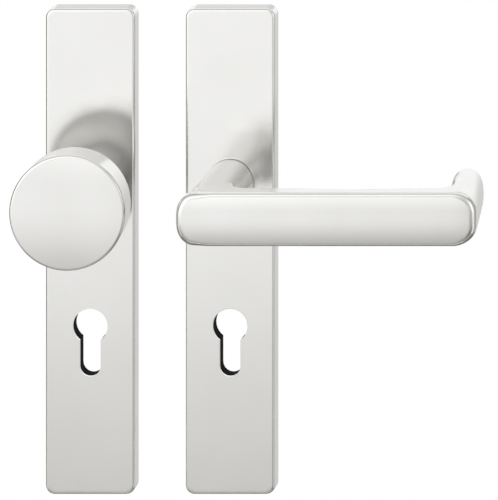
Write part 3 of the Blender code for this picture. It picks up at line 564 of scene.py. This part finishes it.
def rounded_rectangle(width, height, radius, x, z):
    """Points round an upright rectangle with round corners."""
    points = []
    for corner, (sx, sz) in enumerate(((1, 1), (-1, 1), (-1, -1), (1, -1))):
        for i in range(CORNER_STEPS + 1):
            a = QUARTER_TURN * (corner + i / CORNER_STEPS)
            px = x + sx * (width / 2 - radius) + radius * math.cos(a)
            points.append((px, z + sz * (height / 2 - radius) + radius * math.sin(a)))
    return points


def cutout_outline(x):
    """A circle that runs down into a round-ended slot."""
    radius, half = CUTOUT_DIAMETER / 2, CUTOUT_SLOT_WIDTH / 2
    junction = math.asin(half / radius)
    points = []
    for i in range(ROUND_STEPS + 1):
        a = -QUARTER_TURN + junction + 2 * (math.pi - junction) * i / ROUND_STEPS
        points.append((x + radius * math.cos(a), radius * math.sin(a) - CYLINDER_BELOW_AXIS))
    slot_end = half - CUTOUT_DROP - CYLINDER_BELOW_AXIS
    for i in range(SLOT_END_STEPS + 1):
        a = math.pi * (1 + i / SLOT_END_STEPS)
        points.append((x + half * math.cos(a), slot_end + half * math.sin(a)))
    return points


def add_piece(name, shape):
    """A mesh object from a bmesh, with its normals outwards."""
    bmesh.ops.recalc_face_normals(shape, faces=shape.faces)
    mesh = bpy.data.meshes.new(name)
    shape.to_mesh(mesh)
    shape.free()
    piece = bpy.data.objects.new(name, mesh)
    bpy.context.scene.collection.objects.link(piece)
    return piece


def skin_rings(name, rings):
    """Quads between rings of equally many points, with flat ends."""
    shape = bmesh.new()
    loops = [[shape.verts.new(point) for point in ring] for ring in rings]
    for first, second in zip(loops, loops[1:]):
        for i in range(len(first)):
            j = (i + 1) % len(first)
            shape.faces.new((first[i], first[j], second[j], second[i]))
    for loop in (loops[0], loops[-1]):
        shape.faces.new(loop)
    return add_piece(name, shape)


def punch(name, outline, front, back):
    """A prism along Y that cuts through a cover."""
    return skin_rings(name, [[(x, y, z) for x, z in outline] for y in (front, back)])


def cut(piece, cutter):
    """Takes the cutter's shape out of the piece."""
    difference = piece.modifiers.new(cutter.name, "BOOLEAN")
    difference.operation = "DIFFERENCE"
    difference.object = cutter


def pressed_cover(name, node, hole_diameter, finish):
    """A tray with a rolled front edge, hollow behind, with its neck hole and its cut-out punched."""
    low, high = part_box(node)
    width, height = high.x - low.x, high.z - low.z
    x, z = (low.x + high.x) / 2, (low.z + high.z) / 2
    front = low.y
    outside = [(0.0, high.y)]
    for a in quarter(ROLL_STEPS):
        outside.append((ROLLED_EDGE * (1 - math.cos(a)), front + ROLLED_EDGE * (1 - math.sin(a))))
    outside.append((2 * ROLLED_EDGE, front))
    rings = []
    for inset, y in outside:
        radius = max(CORNER_RADIUS - inset, LEAST_CORNER)
        outline = rounded_rectangle(width - 2 * inset, height - 2 * inset, radius, x, z)
        rings.append([(px, y, pz) for px, pz in outline])
    cover = skin_rings(name, rings)
    inner = CORNER_RADIUS - COVER_WALL
    cavity = rounded_rectangle(width - 2 * COVER_WALL, height - 2 * COVER_WALL, inner, x, z)
    hole = circle(hole_diameter / 2, x, 0.0, ROUND_STEPS)
    before, behind = front - PUNCH_PAST, high.y + PUNCH_PAST
    cutters = [
        punch("cavity", cavity, front + COVER_WALL, behind),
        punch("neck_hole", hole, before, behind),
        punch("cutout", cutout_outline(x), before, behind),
    ]
    for cutter in cutters:
        cut(cover, cutter)
    bevel = cover.modifiers.new("punched edges", "BEVEL")
    bevel.width = PUNCHED_EDGE
    bevel.segments = PUNCHED_STEPS
    bevel.limit_method = "ANGLE"
    bevel.angle_limit = PUNCHED_ANGLE
    settle(cover, finish)
    for cutter in cutters:
        bpy.data.objects.remove(cutter)
    stands_for(cover, node, "plates")


sheet_aluminium = satin_aluminium(
    "satin_sheet_aluminium", dark=(0.840, 0.836, 0.820), light=(0.870, 0.866, 0.852)
)
pressed_cover("pressed_knob_cover", "knob_cover_plate", KNOB_NECK_HOLE, sheet_aluminium)
pressed_cover("pressed_lever_cover", "lever_cover_plate", LEVER_NECK_HOLE, sheet_aluminium)


# Fixed knob
# A deep cap of pressed and turned aluminium closes over a disc, which a nut clamps on the end of the
# turned neck. A bolt and a pin from behind the base hold the neck still.
KNOB_CROWN = 0.0014
KNOB_EDGE = 0.0014
KNOB_WALL = 0.0018
KNOB_REAR_DIAMETER = 0.0562
KNOB_SIDES = 160
EDGE_STEPS = 8
CROWN_STEPS = 14
DISC_BORE = 0.0072
DISC_EASE = 0.0004
DISC_SIDES = 128
NECK_SEAT = -0.00912
NECK_WAIST = 0.0015
WAIST_STEPS = 24
NECK_SIDES = 96
NECK_BORE = 0.00415
NECK_BORE_END = -0.0316
NECK_SPIGOT = 0.008
NECK_THREAD = 0.007
KNOB_BOLT_EDGE = 0.0002


def turned_tree():
    """A profile of radius and height spun about a line along Y."""
    inputs = {"Sides": "Int", "Core radius": "Float", "Axis": "Vector", "Finish": "Material"}
    tree, given = new_tree("turned piece", inputs)
    end_tree(tree, given, laid(tree, given, spun(tree, given)))
    return tree


turning = turned_tree()


def turned(name, profile, axis, finish, sides, ring=False):
    """Solid of revolution from (radius, y) points, about a line along Y through (x, z)."""
    x, z = axis
    sizes = {"Sides": sides, "Core radius": CORE_RADIUS, "Axis": (x, 0.0, z), "Finish": finish}
    return grow(name, turning, profile_line(name + "_profile", profile, ring), sizes)


aluminium = satin_aluminium(
    "satin_cast_aluminium", dark=(0.802, 0.798, 0.782), light=(0.832, 0.828, 0.813)
)
low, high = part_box("knob_head")
knob_axis = ((low.x + high.x) / 2, (low.z + high.z) / 2)
knob_radius, rear_radius = (high.x - low.x) / 2, KNOB_REAR_DIAMETER / 2
knob_front, knob_rear = low.y + KNOB_CROWN, high.y
profile = [(0.0, knob_front + KNOB_WALL), (rear_radius - KNOB_WALL, knob_front + KNOB_WALL)]
profile.append((rear_radius - KNOB_WALL, knob_rear))
for a in quarter(EDGE_STEPS):
    y = knob_rear - KNOB_EDGE * (1 - math.cos(a))
    profile.append((rear_radius - KNOB_EDGE * (1 - math.sin(a)), y))
for a in quarter(EDGE_STEPS):
    y = knob_front + KNOB_EDGE * (1 - math.sin(a))
    profile.append((knob_radius - KNOB_EDGE * (1 - math.cos(a)), y))
for i in range(1, CROWN_STEPS + 1):
    share = 1 - i / CROWN_STEPS
    profile.append(((knob_radius - KNOB_EDGE) * share, knob_front - KNOB_CROWN * (1 - share ** 2)))
cap = turned("turned_knob_cap", profile, knob_axis, aluminium, KNOB_SIDES)
stands_for(cap, "knob_head", "plates")

low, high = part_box("knob_back_disc")
rim = (high.x - low.x) / 2
profile = [(DISC_BORE, low.y), (rim - DISC_EASE, low.y), (rim, low.y + DISC_EASE)]
profile += [(rim, high.y - DISC_EASE), (rim - DISC_EASE, high.y), (DISC_BORE, high.y)]
plain_aluminium = satin_aluminium(
    "turned_aluminium", dark=(0.73, 0.726, 0.71), light=(0.76, 0.756, 0.74), smooth=0.34, rough=0.42
)
disc = turned("turned_knob_disc", profile, knob_axis, plain_aluminium, DISC_SIDES, ring=True)
stands_for(disc, "knob_back_disc", "plates")

low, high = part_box("knob_neck")
neck_radius = (high.x - low.x) / 2
profile = [(0.0, NECK_BORE_END), (NECK_BORE, NECK_BORE_END), (NECK_BORE, high.y)]
profile += [(NECK_SPIGOT, high.y), (NECK_SPIGOT, NECK_SEAT)]
for i in range(WAIST_STEPS + 1):
    share = i / WAIST_STEPS
    y = NECK_SEAT + (knob_rear - NECK_SEAT) * share
    profile.append((neck_radius - NECK_WAIST * math.sin(math.pi * share), y))
profile += [(NECK_THREAD, knob_rear), (NECK_THREAD, low.y), (0.0, low.y)]
# The neck's tone is painted lighter than the cap's: a painted lift of the shade on it, which shows where it
# is mirrored in the cover. Its rougher finish is the turned surface's own.
painted_light_neck_aluminium = satin_aluminium(
    "turned_aluminium_painted_lighter", dark=(0.86, 0.857, 0.842), light=(0.89, 0.887, 0.872), smooth=0.46, rough=0.54
)
neck = turned("turned_knob_neck", profile, knob_axis, painted_light_neck_aluminium, NECK_SIDES)
stands_for(neck, "knob_neck", "plates")

for name, node in (
    ("clamp_nut", "knob_nut"),
    ("hexagon_bolt", "knob_bolt"),
    ("bolt_washer", "knob_bolt_washer"),
    ("locking_pin", "knob_lock_pin"),
):
    piece = eased_copy(name, node, KNOB_BOLT_EDGE, plated_steel)
    stands_for(piece, node, "plates")


# Lever handle
# One aluminium casting runs from the round neck through a soft elbow into a flat-fronted grip and
# returns towards the door. It is ground, blasted and anodised like the plates.
LEVER_REACH = 0.1374
ELBOW_OVERHANG = 0.0140
NECK_DIAMETER = 0.024
NECK_GROOVE_DEPTH = 0.0008
NECK_GROOVE_WIDTH = 0.0005
GRIP_HEIGHT = 0.0268
GRIP_THICKNESS = 0.0125
GRIP_CROWN = 0.0012
GRIP_FRONT_EDGE = 0.0017
GRIP_BACK_EDGE = 0.0048
GRIP_LEFT_CORNER = (0.0088, 0.0118)
GRIP_RIGHT_CORNER = (0.0112, 0.0102)
ELBOW_FRONT_EDGE = 0.0045
END_FRONT_EDGE = 0.0042
END_CROWN = 0.0007
END_CROWN_LENGTH = 0.0115
ELBOW_SOFT_LENGTH = 0.020
ELBOW_EAGERNESS = 1.8
INNER_EAGERNESS = 12.0
RETURN_ROOT_THICKNESS = 0.0145
RETURN_TIP_THICKNESS = 0.0162
RETURN_TIP_HEIGHT = 0.0252
RETURN_LEAN = 0.0060
RETURN_TIP_ROUNDING = 0.006
ELBOW_RADII = (0.0060, 0.013)
END_RADII = (0.0042, 0.010)
TIP_START = -0.029
TIP_STEPS = 14
TIP_CLOSED = 0.985
SPIGOT_END = -0.0059
SPIGOT_DIAMETER = 0.016
SOCKET_SIDE = 0.0083
SOCKET_END = -0.0372
ROUND_POWER = 2.0
SQUARE_POWER = 60.0
GRUB_HOLE = 0.00315
GRUB_LEVEL = -0.023
GRUB_STEPS = 48
CAST_ANGLE = math.radians(50)
# The runs are neck, elbow, grip, end bend and return. At the six ends of the runs, a section is an oval of
# the given power, squarer where that is higher, and has the given share of the grip's own outline.
RUN_STEPS = (20, 36, 100, 44, 24)
SECTION_POWERS = (2.0, 2.1, 4.0, 4.0, 3.0, 2.4)
GRIP_SHARES = (0.0, 0.0, 1.0, 1.0, 1.0, 0.0)
FRONT_STEPS = 20
FRONT_EDGE_STEPS = 14
SIDE_STEPS = 8
BACK_EDGE_STEPS = 10
BACK_STEPS = 8
INNER_START = 0.1
INNER_SPAN = 0.5
SEARCH_LIMIT = 1.7
SEARCH_STEPS = 26

low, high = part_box("lever_handle")
grip_front = low.y
grip_back = grip_front + GRIP_THICKNESS


def bent_line(corners, radii):
    """Points along a line in plan with its two corners rounded: three straight runs and two bends."""
    start, first, second, end = (Vector(corner) for corner in corners)
    runs, here = [], start
    bends = ((start, first, second, radii[0]), (first, second, end, radii[1]))
    for number, (before, corner, after, radius) in enumerate(bends):
        back, ahead = (before - corner).normalized(), (after - corner).normalized()
        half_turn = back.angle(ahead) / 2
        reach = radius / math.tan(half_turn)
        centre = corner + (back + ahead).normalized() * (radius / math.sin(half_turn))
        enter, leave = corner + back * reach, corner + ahead * reach
        straight, arc = RUN_STEPS[2 * number], RUN_STEPS[2 * number + 1]
        runs.append([here.lerp(enter, i / straight) for i in range(straight)])
        sweep = (enter - centre).angle_signed(leave - centre)
        turns = [Matrix.Rotation(-sweep * i / arc, 2) for i in range(arc)]
        runs.append([centre + turn @ (enter - centre) for turn in turns])
        here = leave
    runs.append([here.lerp(end, i / RUN_STEPS[-1]) for i in range(RUN_STEPS[-1] + 1)])
    return runs


def smooth_step(share):
    """A share from 0 to 1 with a soft start and end."""
    share = min(max(share, 0.0), 1.0)
    return share * share * (3 - 2 * share)


def rounding(depth, radius):
    """How far a rounded edge falls back at a depth below the surface beside it."""
    if depth >= radius:
        return 0.0
    return radius - math.sqrt(max(radius ** 2 - (radius - depth) ** 2, 0.0))


def in_grip(x, y, z, inner_depth):
    """Whether a point lies in the grip: a slab with round corners in front view, a crowned front, and
    edges rounded tightly along the front and softly at the elbow and the back."""
    half = GRIP_HEIGHT / 2
    near_end = max(x - LEVER_REACH + END_CROWN_LENGTH, 0.0) / END_CROWN_LENGTH
    depth = y - grip_front - GRIP_CROWN * (z / half) ** 2 - END_CROWN * near_end ** 2
    if depth < 0 or inner_depth < 0:
        return False
    run = (y - grip_front) / (NECK_SEAT - grip_front)
    left = -ELBOW_OVERHANG + (ELBOW_OVERHANG - NECK_DIAMETER / 2) * run
    right = LEVER_REACH - RETURN_LEAN * (y - grip_front) / (TIP_START - grip_front)
    soft = smooth_step((left + ELBOW_SOFT_LENGTH - x) / ELBOW_SOFT_LENGTH)
    inset = rounding(depth, GRIP_FRONT_EDGE + (ELBOW_FRONT_EDGE - GRIP_FRONT_EDGE) * soft)
    height = half - inset
    past_right, past_left = x - right + rounding(depth, END_FRONT_EDGE), left - x + inset
    for corner, past in ((GRIP_RIGHT_CORNER, past_right), (GRIP_LEFT_CORNER, past_left)):
        along, up = corner[0] - inset, corner[1] - inset
        into_corner = (past + along) / along
        if into_corner > 1:
            return False
        if into_corner > 0:
            height = min(height, half - inset - up * (1 - math.sqrt(1 - into_corner ** 2)))
    return abs(z) <= height - rounding(inner_depth, GRIP_BACK_EDGE)


def section_directions():
    """Directions from a section's middle, as (outwards, upwards), closest together at the edges."""
    half, height = GRIP_THICKNESS / 2, GRIP_HEIGHT / 2
    front, back = GRIP_FRONT_EDGE, GRIP_BACK_EDGE
    points = [(half, (height - front) * i / FRONT_STEPS) for i in range(FRONT_STEPS)]
    for a in quarter(FRONT_EDGE_STEPS):
        points.append((half - front + front * math.cos(a), height - front + front * math.sin(a)))
    side = back + front - 2 * half
    points += [(half - front + side * i / SIDE_STEPS, height) for i in range(1, SIDE_STEPS)]
    for i in range(BACK_EDGE_STEPS + 1):
        a = QUARTER_TURN * (1 + i / BACK_EDGE_STEPS)
        points.append((back - half + back * math.cos(a), height - back + back * math.sin(a)))
    points += [(-half, (height - back) * (1 - i / BACK_STEPS)) for i in range(1, BACK_STEPS + 1)]
    points += [(out, -up) for out, up in points[-2:0:-1]]
    return [Vector((out / half, up / height)).normalized() for out, up in points]


directions = section_directions()


def grip_reach(centre, arm, out, up, height):
    """How far the grip reaches in a direction from a section's middle, found by halving."""
    near, far = 0.0, SEARCH_LIMIT
    for _ in range(SEARCH_STEPS):
        trial = (near + far) / 2
        p = centre + arm * (out * trial)
        if in_grip(p.x, p.y, up * trial * height, arm.length * (1 + out * trial)):
            near = trial
        else:
            far = trial
    return near


def section(outer, inner, height, power, grip_share=0.0, inner_share=0.0):
    """The section between an outer and an inner point: an oval, the grip's own, or between them."""
    centre, arm = (outer + inner) / 2, (outer - inner) / 2
    points = []
    for out, up in directions:
        reach = (abs(out) ** power + abs(up) ** power) ** (-1 / power)
        inside = smooth_step((INNER_START - out) / INNER_SPAN)
        share = grip_share + max(inner_share - grip_share, 0.0) * inside
        if share > 0:
            reach += (grip_reach(centre, arm, out, up, height) - reach) * share
        p = centre + arm * (out * reach)
        points.append((p.x, p.y, height * up * reach))
    return points


def lever_rings():
    """Sections from the spindle's socket through the neck, elbow and grip to the return's closed tip."""
    neck, foot = NECK_DIAMETER / 2, NECK_SEAT - NECK_GROOVE_WIDTH
    groove = neck - NECK_GROOVE_DEPTH
    tip_outer = LEVER_REACH - RETURN_LEAN
    tip_inner = tip_outer - RETURN_TIP_THICKNESS
    root_inner = LEVER_REACH - RETURN_ROOT_THICKNESS
    outer = bent_line(
        [(-neck, foot), (-ELBOW_OVERHANG, grip_front), (LEVER_REACH, grip_front), (tip_outer, TIP_START)],
        (ELBOW_RADII[0], END_RADII[0]),
    )
    inner = bent_line(
        [(neck, foot), (neck, grip_back), (root_inner, grip_back), (tip_inner, TIP_START)],
        (ELBOW_RADII[1], END_RADII[1]),
    )
    grip, tip = GRIP_HEIGHT / 2, RETURN_TIP_HEIGHT / 2
    blends = ((neck, neck, grip, grip, grip, tip), SECTION_POWERS, GRIP_SHARES)
    rings = []
    for half, y, power in (
        (SOCKET_SIDE / 2, SOCKET_END, SQUARE_POWER),
        (SOCKET_SIDE / 2, SPIGOT_END, SQUARE_POWER),
        (SPIGOT_DIAMETER / 2, SPIGOT_END, ROUND_POWER),
        (SPIGOT_DIAMETER / 2, NECK_SEAT, ROUND_POWER),
        (groove, NECK_SEAT, ROUND_POWER),
        (groove, foot, ROUND_POWER),
    ):
        rings.append(section(Vector((-half, y)), Vector((half, y)), half, power))
    for run, (outer_points, inner_points) in enumerate(zip(outer, inner)):
        at_elbow = run == 1
        for i, (o, n) in enumerate(zip(outer_points, inner_points)):
            along = i / RUN_STEPS[run]
            share = smooth_step(ELBOW_EAGERNESS * along if at_elbow else along)
            blend = [ends[run] + (ends[run + 1] - ends[run]) * share for ends in blends]
            inner_share = smooth_step(INNER_EAGERNESS * along) if at_elbow else 0.0
            rings.append(section(o, n, *blend, inner_share))
    middle, half = (tip_outer + tip_inner) / 2, RETURN_TIP_THICKNESS / 2
    for i in range(1, TIP_STEPS + 1):
        a = QUARTER_TURN * TIP_CLOSED * i / TIP_STEPS
        y = TIP_START + RETURN_TIP_ROUNDING * math.sin(a)
        o, n = Vector((middle + half * math.cos(a), y)), Vector((middle - half * math.cos(a), y))
        height = tip - RETURN_TIP_ROUNDING * (1 - math.cos(a))
        rings.append(section(o, n, height, SECTION_POWERS[-1]))
    return rings


handle = skin_rings("cast_lever_handle", lever_rings())
bore = circle(GRUB_HOLE, 0.0, GRUB_LEVEL, GRUB_STEPS)
drill = skin_rings("grub_hole", [[(x, y, z) for x, y in bore] for z in (-NECK_DIAMETER, 0.0)])
cut(handle, drill)
settle(handle, aluminium)
bpy.data.objects.remove(drill)
handle.data.set_sharp_from_angle(angle=CAST_ANGLE)
settle(handle, aluminium)
stands_for(handle, "lever_handle", "lever")


# Spindle and grub screw
# The square spindle is drawn steel. It is pushed into the lever's neck, where a black socket screw from
# below holds it, and it reaches through the driver into the door.
SPINDLE_EDGE = 0.0003
GRUB_EDGE = 0.0001


def drawn_steel():
    """Die lines along the bar."""
    finish, tree, shader, coords = finish_nodes("drawn_steel", (0.55, 0.56, 0.57), 1.0, 0.36)
    streaks = grain(tree, coords, 140.0, stretch=(1.0, 0.2, 1.0))
    tint(tree, shader, streaks, (0.49, 0.50, 0.51), (0.59, 0.60, 0.61))
    lines = grain(tree, coords, 3500.0, stretch=(1.0, 0.03, 1.0))
    roughen(tree, shader, lines, 0.28, 0.46)
    emboss(tree, shader, lines, depth=0.00001, strength=0.4)
    return finish


def black_oxide():
    """Oil-blackened steel."""
    finish, tree, shader, coords = finish_nodes("black_oxide", (0.035, 0.035, 0.038), 0.9, 0.42)
    tint(tree, shader, grain(tree, coords, 900.0), (0.025, 0.025, 0.028), (0.05, 0.05, 0.052))
    roughen(tree, shader, grain(tree, coords, 4000.0), 0.36, 0.5)
    return finish


bar = eased_copy("drawn_spindle", "spindle", SPINDLE_EDGE, drawn_steel())
stands_for(bar, "spindle", "lever")
grub = eased_copy("socket_grub_screw", "grub_screw", GRUB_EDGE, black_oxide())
stands_for(grub, "grub_screw", "lever")


# Studio
# The set hangs in a white tent with a pale floor far below. Cards that the camera can't see shape the
# reflections: light from above and in front, darker flags at the sides and below.
WHITE = (1.0, 1.0, 1.0, 1.0)
WARMTH = (0.0, 0.02, 0.06)
FACING_BACK = (0.0, 1.0, 0.0)
FACING_FRONT = (0.0, -1.0, 0.0)
FACING_RIGHT = (1.0, 0.0, 0.0)
FACING_LEFT = (-1.0, 0.0, 0.0)
FACING_UP = (0.0, 0.0, 1.0)
FACING_DOWN = (0.0, 0.0, -1.0)
FLOOR_LEVEL = -1.3
FLOOR_SIZE = 40.0


def graded(tree, coordinate, stops):
    """A value that follows (place in metres, value) stops along a coordinate, warmer where it is dark."""
    start, end = stops[0][0], stops[-1][0]
    share = tree.nodes.new("ShaderNodeMapRange")
    share.inputs["From Min"].default_value = start
    share.inputs["From Max"].default_value = end
    tree.links.new(coordinate, share.inputs["Value"])
    ramp = tree.nodes.new("ShaderNodeValToRGB")
    steps = ramp.color_ramp.elements
    while len(steps) < len(stops):
        steps.new(0.5)
    for step, (place, value) in zip(steps, stops):
        step.position = (place - start) / (end - start)
    for step, (place, value) in zip(steps, stops):
        darkness = max(1.0 - value, 0.0)
        step.color = (*(value - warmth * darkness for warmth in WARMTH), 1.0)
    tree.links.new(share.outputs["Result"], ramp.inputs["Fac"])
    return ramp.outputs["Color"]


def card(name, centre, facing, width, height, glow=1.0, up=None, across=None):
    """A flat card towards the set that only reflections see, with an even glow or a graded one."""
    shape = bmesh.new()
    bmesh.ops.create_grid(shape, x_segments=1, y_segments=1, size=0.5)
    turn = Vector(facing).to_track_quat("Z", "Y").to_matrix().to_4x4()
    stretch = Matrix.Diagonal((width, height, 1.0, 1.0))
    shape.transform(Matrix.Translation(centre) @ turn @ stretch)
    piece = add_piece(name, shape)
    finish = bpy.data.materials.new(name)
    finish.use_nodes = True
    tree = finish.node_tree
    tree.nodes.clear()
    light = tree.nodes.new("ShaderNodeEmission")
    light.inputs["Color"].default_value = WHITE
    light.inputs["Strength"].default_value = glow
    output = tree.nodes.new("ShaderNodeOutputMaterial")
    tree.links.new(light.outputs["Emission"], output.inputs["Surface"])
    if up and across:
        coords = tree.nodes.new("ShaderNodeTexCoord")
        place = tree.nodes.new("ShaderNodeSeparateXYZ")
        tree.links.new(coords.outputs["Object"], place.inputs["Vector"])
        product = tree.nodes.new("ShaderNodeVectorMath")
        product.operation = "MULTIPLY"
        tree.links.new(graded(tree, place.outputs["Z"], up), product.inputs[0])
        tree.links.new(graded(tree, place.outputs["X"], across), product.inputs[1])
        tree.links.new(product.outputs["Vector"], light.inputs["Color"])
    piece.data.materials.append(finish)
    piece.visible_camera = False
    piece.visible_diffuse = False
    piece.visible_shadow = False


card(
    "front_card",
    (0.0, -0.65, -0.05),
    FACING_BACK,
    width=3.0,
    height=2.1,
    up=[(-1.1, 0.30), (-0.46, 0.46), (-0.32, 0.73), (-0.20, 1.01), (-0.13, 1.07), (-0.08, 0.98),
        (-0.02, 1.14), (0.05, 1.34), (0.12, 1.36), (0.25, 1.42), (0.5, 1.42), (0.7, 1.10), (1.0, 1.10)],
    across=[(-1.5, 1.3), (-0.6, 1.2), (-0.35, 1.0), (-0.2, 0.97), (-0.13, 1.0), (0.0, 0.91), (0.15, 0.76),
            (0.3, 0.62), (0.5, 0.50), (0.8, 0.45), (1.0, 1.1), (1.5, 1.3)],
)
card(
    "back_card",
    (0.0, 1.2, 0.0),
    FACING_FRONT,
    width=1.5,
    height=2.0,
    up=[(-1.0, 0.6), (-0.25, 0.70), (0.15, 1.05), (0.5, 1.12), (1.0, 1.0)],
    across=[(-0.75, 1.0), (0.75, 1.0)],
)
card("top_flag", (0.0, -0.08, 0.9), FACING_DOWN, width=2.6, height=0.5, glow=0.46)
card("high_flag", (0.0, 0.35, 0.213), FACING_FRONT, width=1.6, height=0.073, glow=0.64)
card(
    "neck_flag",
    (0.06, -0.60, 0.165),
    FACING_BACK,
    width=0.54,
    height=0.21,
    up=[(0.0, 1.0), (0.3, 1.0)],
    across=[(-0.21, 0.88), (-0.03, 0.88), (0.06, 0.84), (0.13, 0.70), (0.20, 0.50), (0.33, 0.38)],
)
card("neck_side_flag", (-0.27, -0.59, 0.085), FACING_BACK, width=0.12, height=0.10, glow=0.80)
card(
    "left_flag",
    (-1.0, 0.55, -0.1),
    FACING_RIGHT,
    width=1.4,
    height=1.8,
    up=[(-1.0, 0.45), (-0.35, 0.18), (-0.1, 0.10), (0.1, 0.12), (0.35, 0.5), (0.8, 0.6)],
    across=[(-1.1, 1.0), (-0.9, 1.0)],
)
card("corner_flag", (0.0615, 0.08, -0.016), FACING_FRONT, width=0.023, height=0.068, glow=0.30)
card("right_flag", (1.0, 0.45, 0.05), FACING_LEFT, width=1.1, height=2.1, glow=0.45)
card("lower_flag", (0.0, 0.50, -0.9), FACING_UP, width=2.0, height=1.6, glow=0.20)
card("low_right_flag", (0.70, -0.475, -0.9), FACING_UP, width=0.7, height=0.35, glow=0.50)
card("low_left_flag", (-0.80, -0.475, -0.9), FACING_UP, width=0.6, height=0.35, glow=0.50)

shape = bmesh.new()
bmesh.ops.create_grid(shape, x_segments=1, y_segments=1, size=FLOOR_SIZE / 2)
shape.transform(Matrix.Translation((0.0, 0.0, FLOOR_LEVEL)))
floor = add_piece("floor", shape)
pale = bpy.data.materials.new("pale_floor")
pale.use_nodes = True
tree = pale.node_tree
tree.nodes.clear()
matt = tree.nodes.new("ShaderNodeBsdfDiffuse")
matt.inputs["Color"].default_value = WHITE
underside = tree.nodes.new("ShaderNodeNewGeometry")
clear = tree.nodes.new("ShaderNodeBsdfTransparent")
from_below = tree.nodes.new("ShaderNodeMixShader")
output = tree.nodes.new("ShaderNodeOutputMaterial")
tree.links.new(underside.outputs["Backfacing"], from_below.inputs["Fac"])
tree.links.new(matt.outputs["BSDF"], from_below.inputs[1])
tree.links.new(clear.outputs["BSDF"], from_below.inputs[2])
tree.links.new(from_below.outputs["Shader"], output.inputs["Surface"])
floor.data.materials.append(pale)

world = bpy.data.worlds.new("white_tent")
world.use_nodes = True
bpy.context.scene.world = world
tent = world.node_tree.nodes["Background"]
tent.inputs["Color"].default_value = WHITE
tent.inputs["Strength"].default_value = 1.0


# Camera
# A view camera far off to the upper right, with its back parallel to the plates, so that the plates
# stay upright rectangles and depth runs off to the lower left.
VIEW_CENTRE = Vector((0.00955, -0.009, -0.03367))
FRAME_HEIGHT = 0.2513
SLANT = Vector((0.211, -1.0, 0.285))
DISTANCE = 12.0
SENSOR_HEIGHT = 24.0
CLIP_END = 200.0

camera = bpy.data.cameras.new("view_camera")
camera.sensor_fit = "VERTICAL"
camera.sensor_height = SENSOR_HEIGHT
camera.lens = SENSOR_HEIGHT * DISTANCE * SLANT.length / FRAME_HEIGHT
camera.clip_end = CLIP_END
view = bpy.data.objects.new("view_camera", camera)
bpy.context.scene.collection.objects.link(view)
standard = bpy.data.objects.new("camera_standard", None)
bpy.context.scene.collection.objects.link(standard)
look = SLANT.normalized()
eye = VIEW_CENTRE + SLANT * DISTANCE
view.parent = standard
view.matrix_parent_inverse = Matrix(
    (
        (1.0, 0.0, look.x, eye.x),
        (0.0, 0.0, look.y, eye.y),
        (0.0, 1.0, look.z, eye.z),
        (0.0, 0.0, 0.0, 1.0),
    )
)
bpy.context.scene.camera = view
bpy.context.scene.view_settings.view_transform = "Standard"
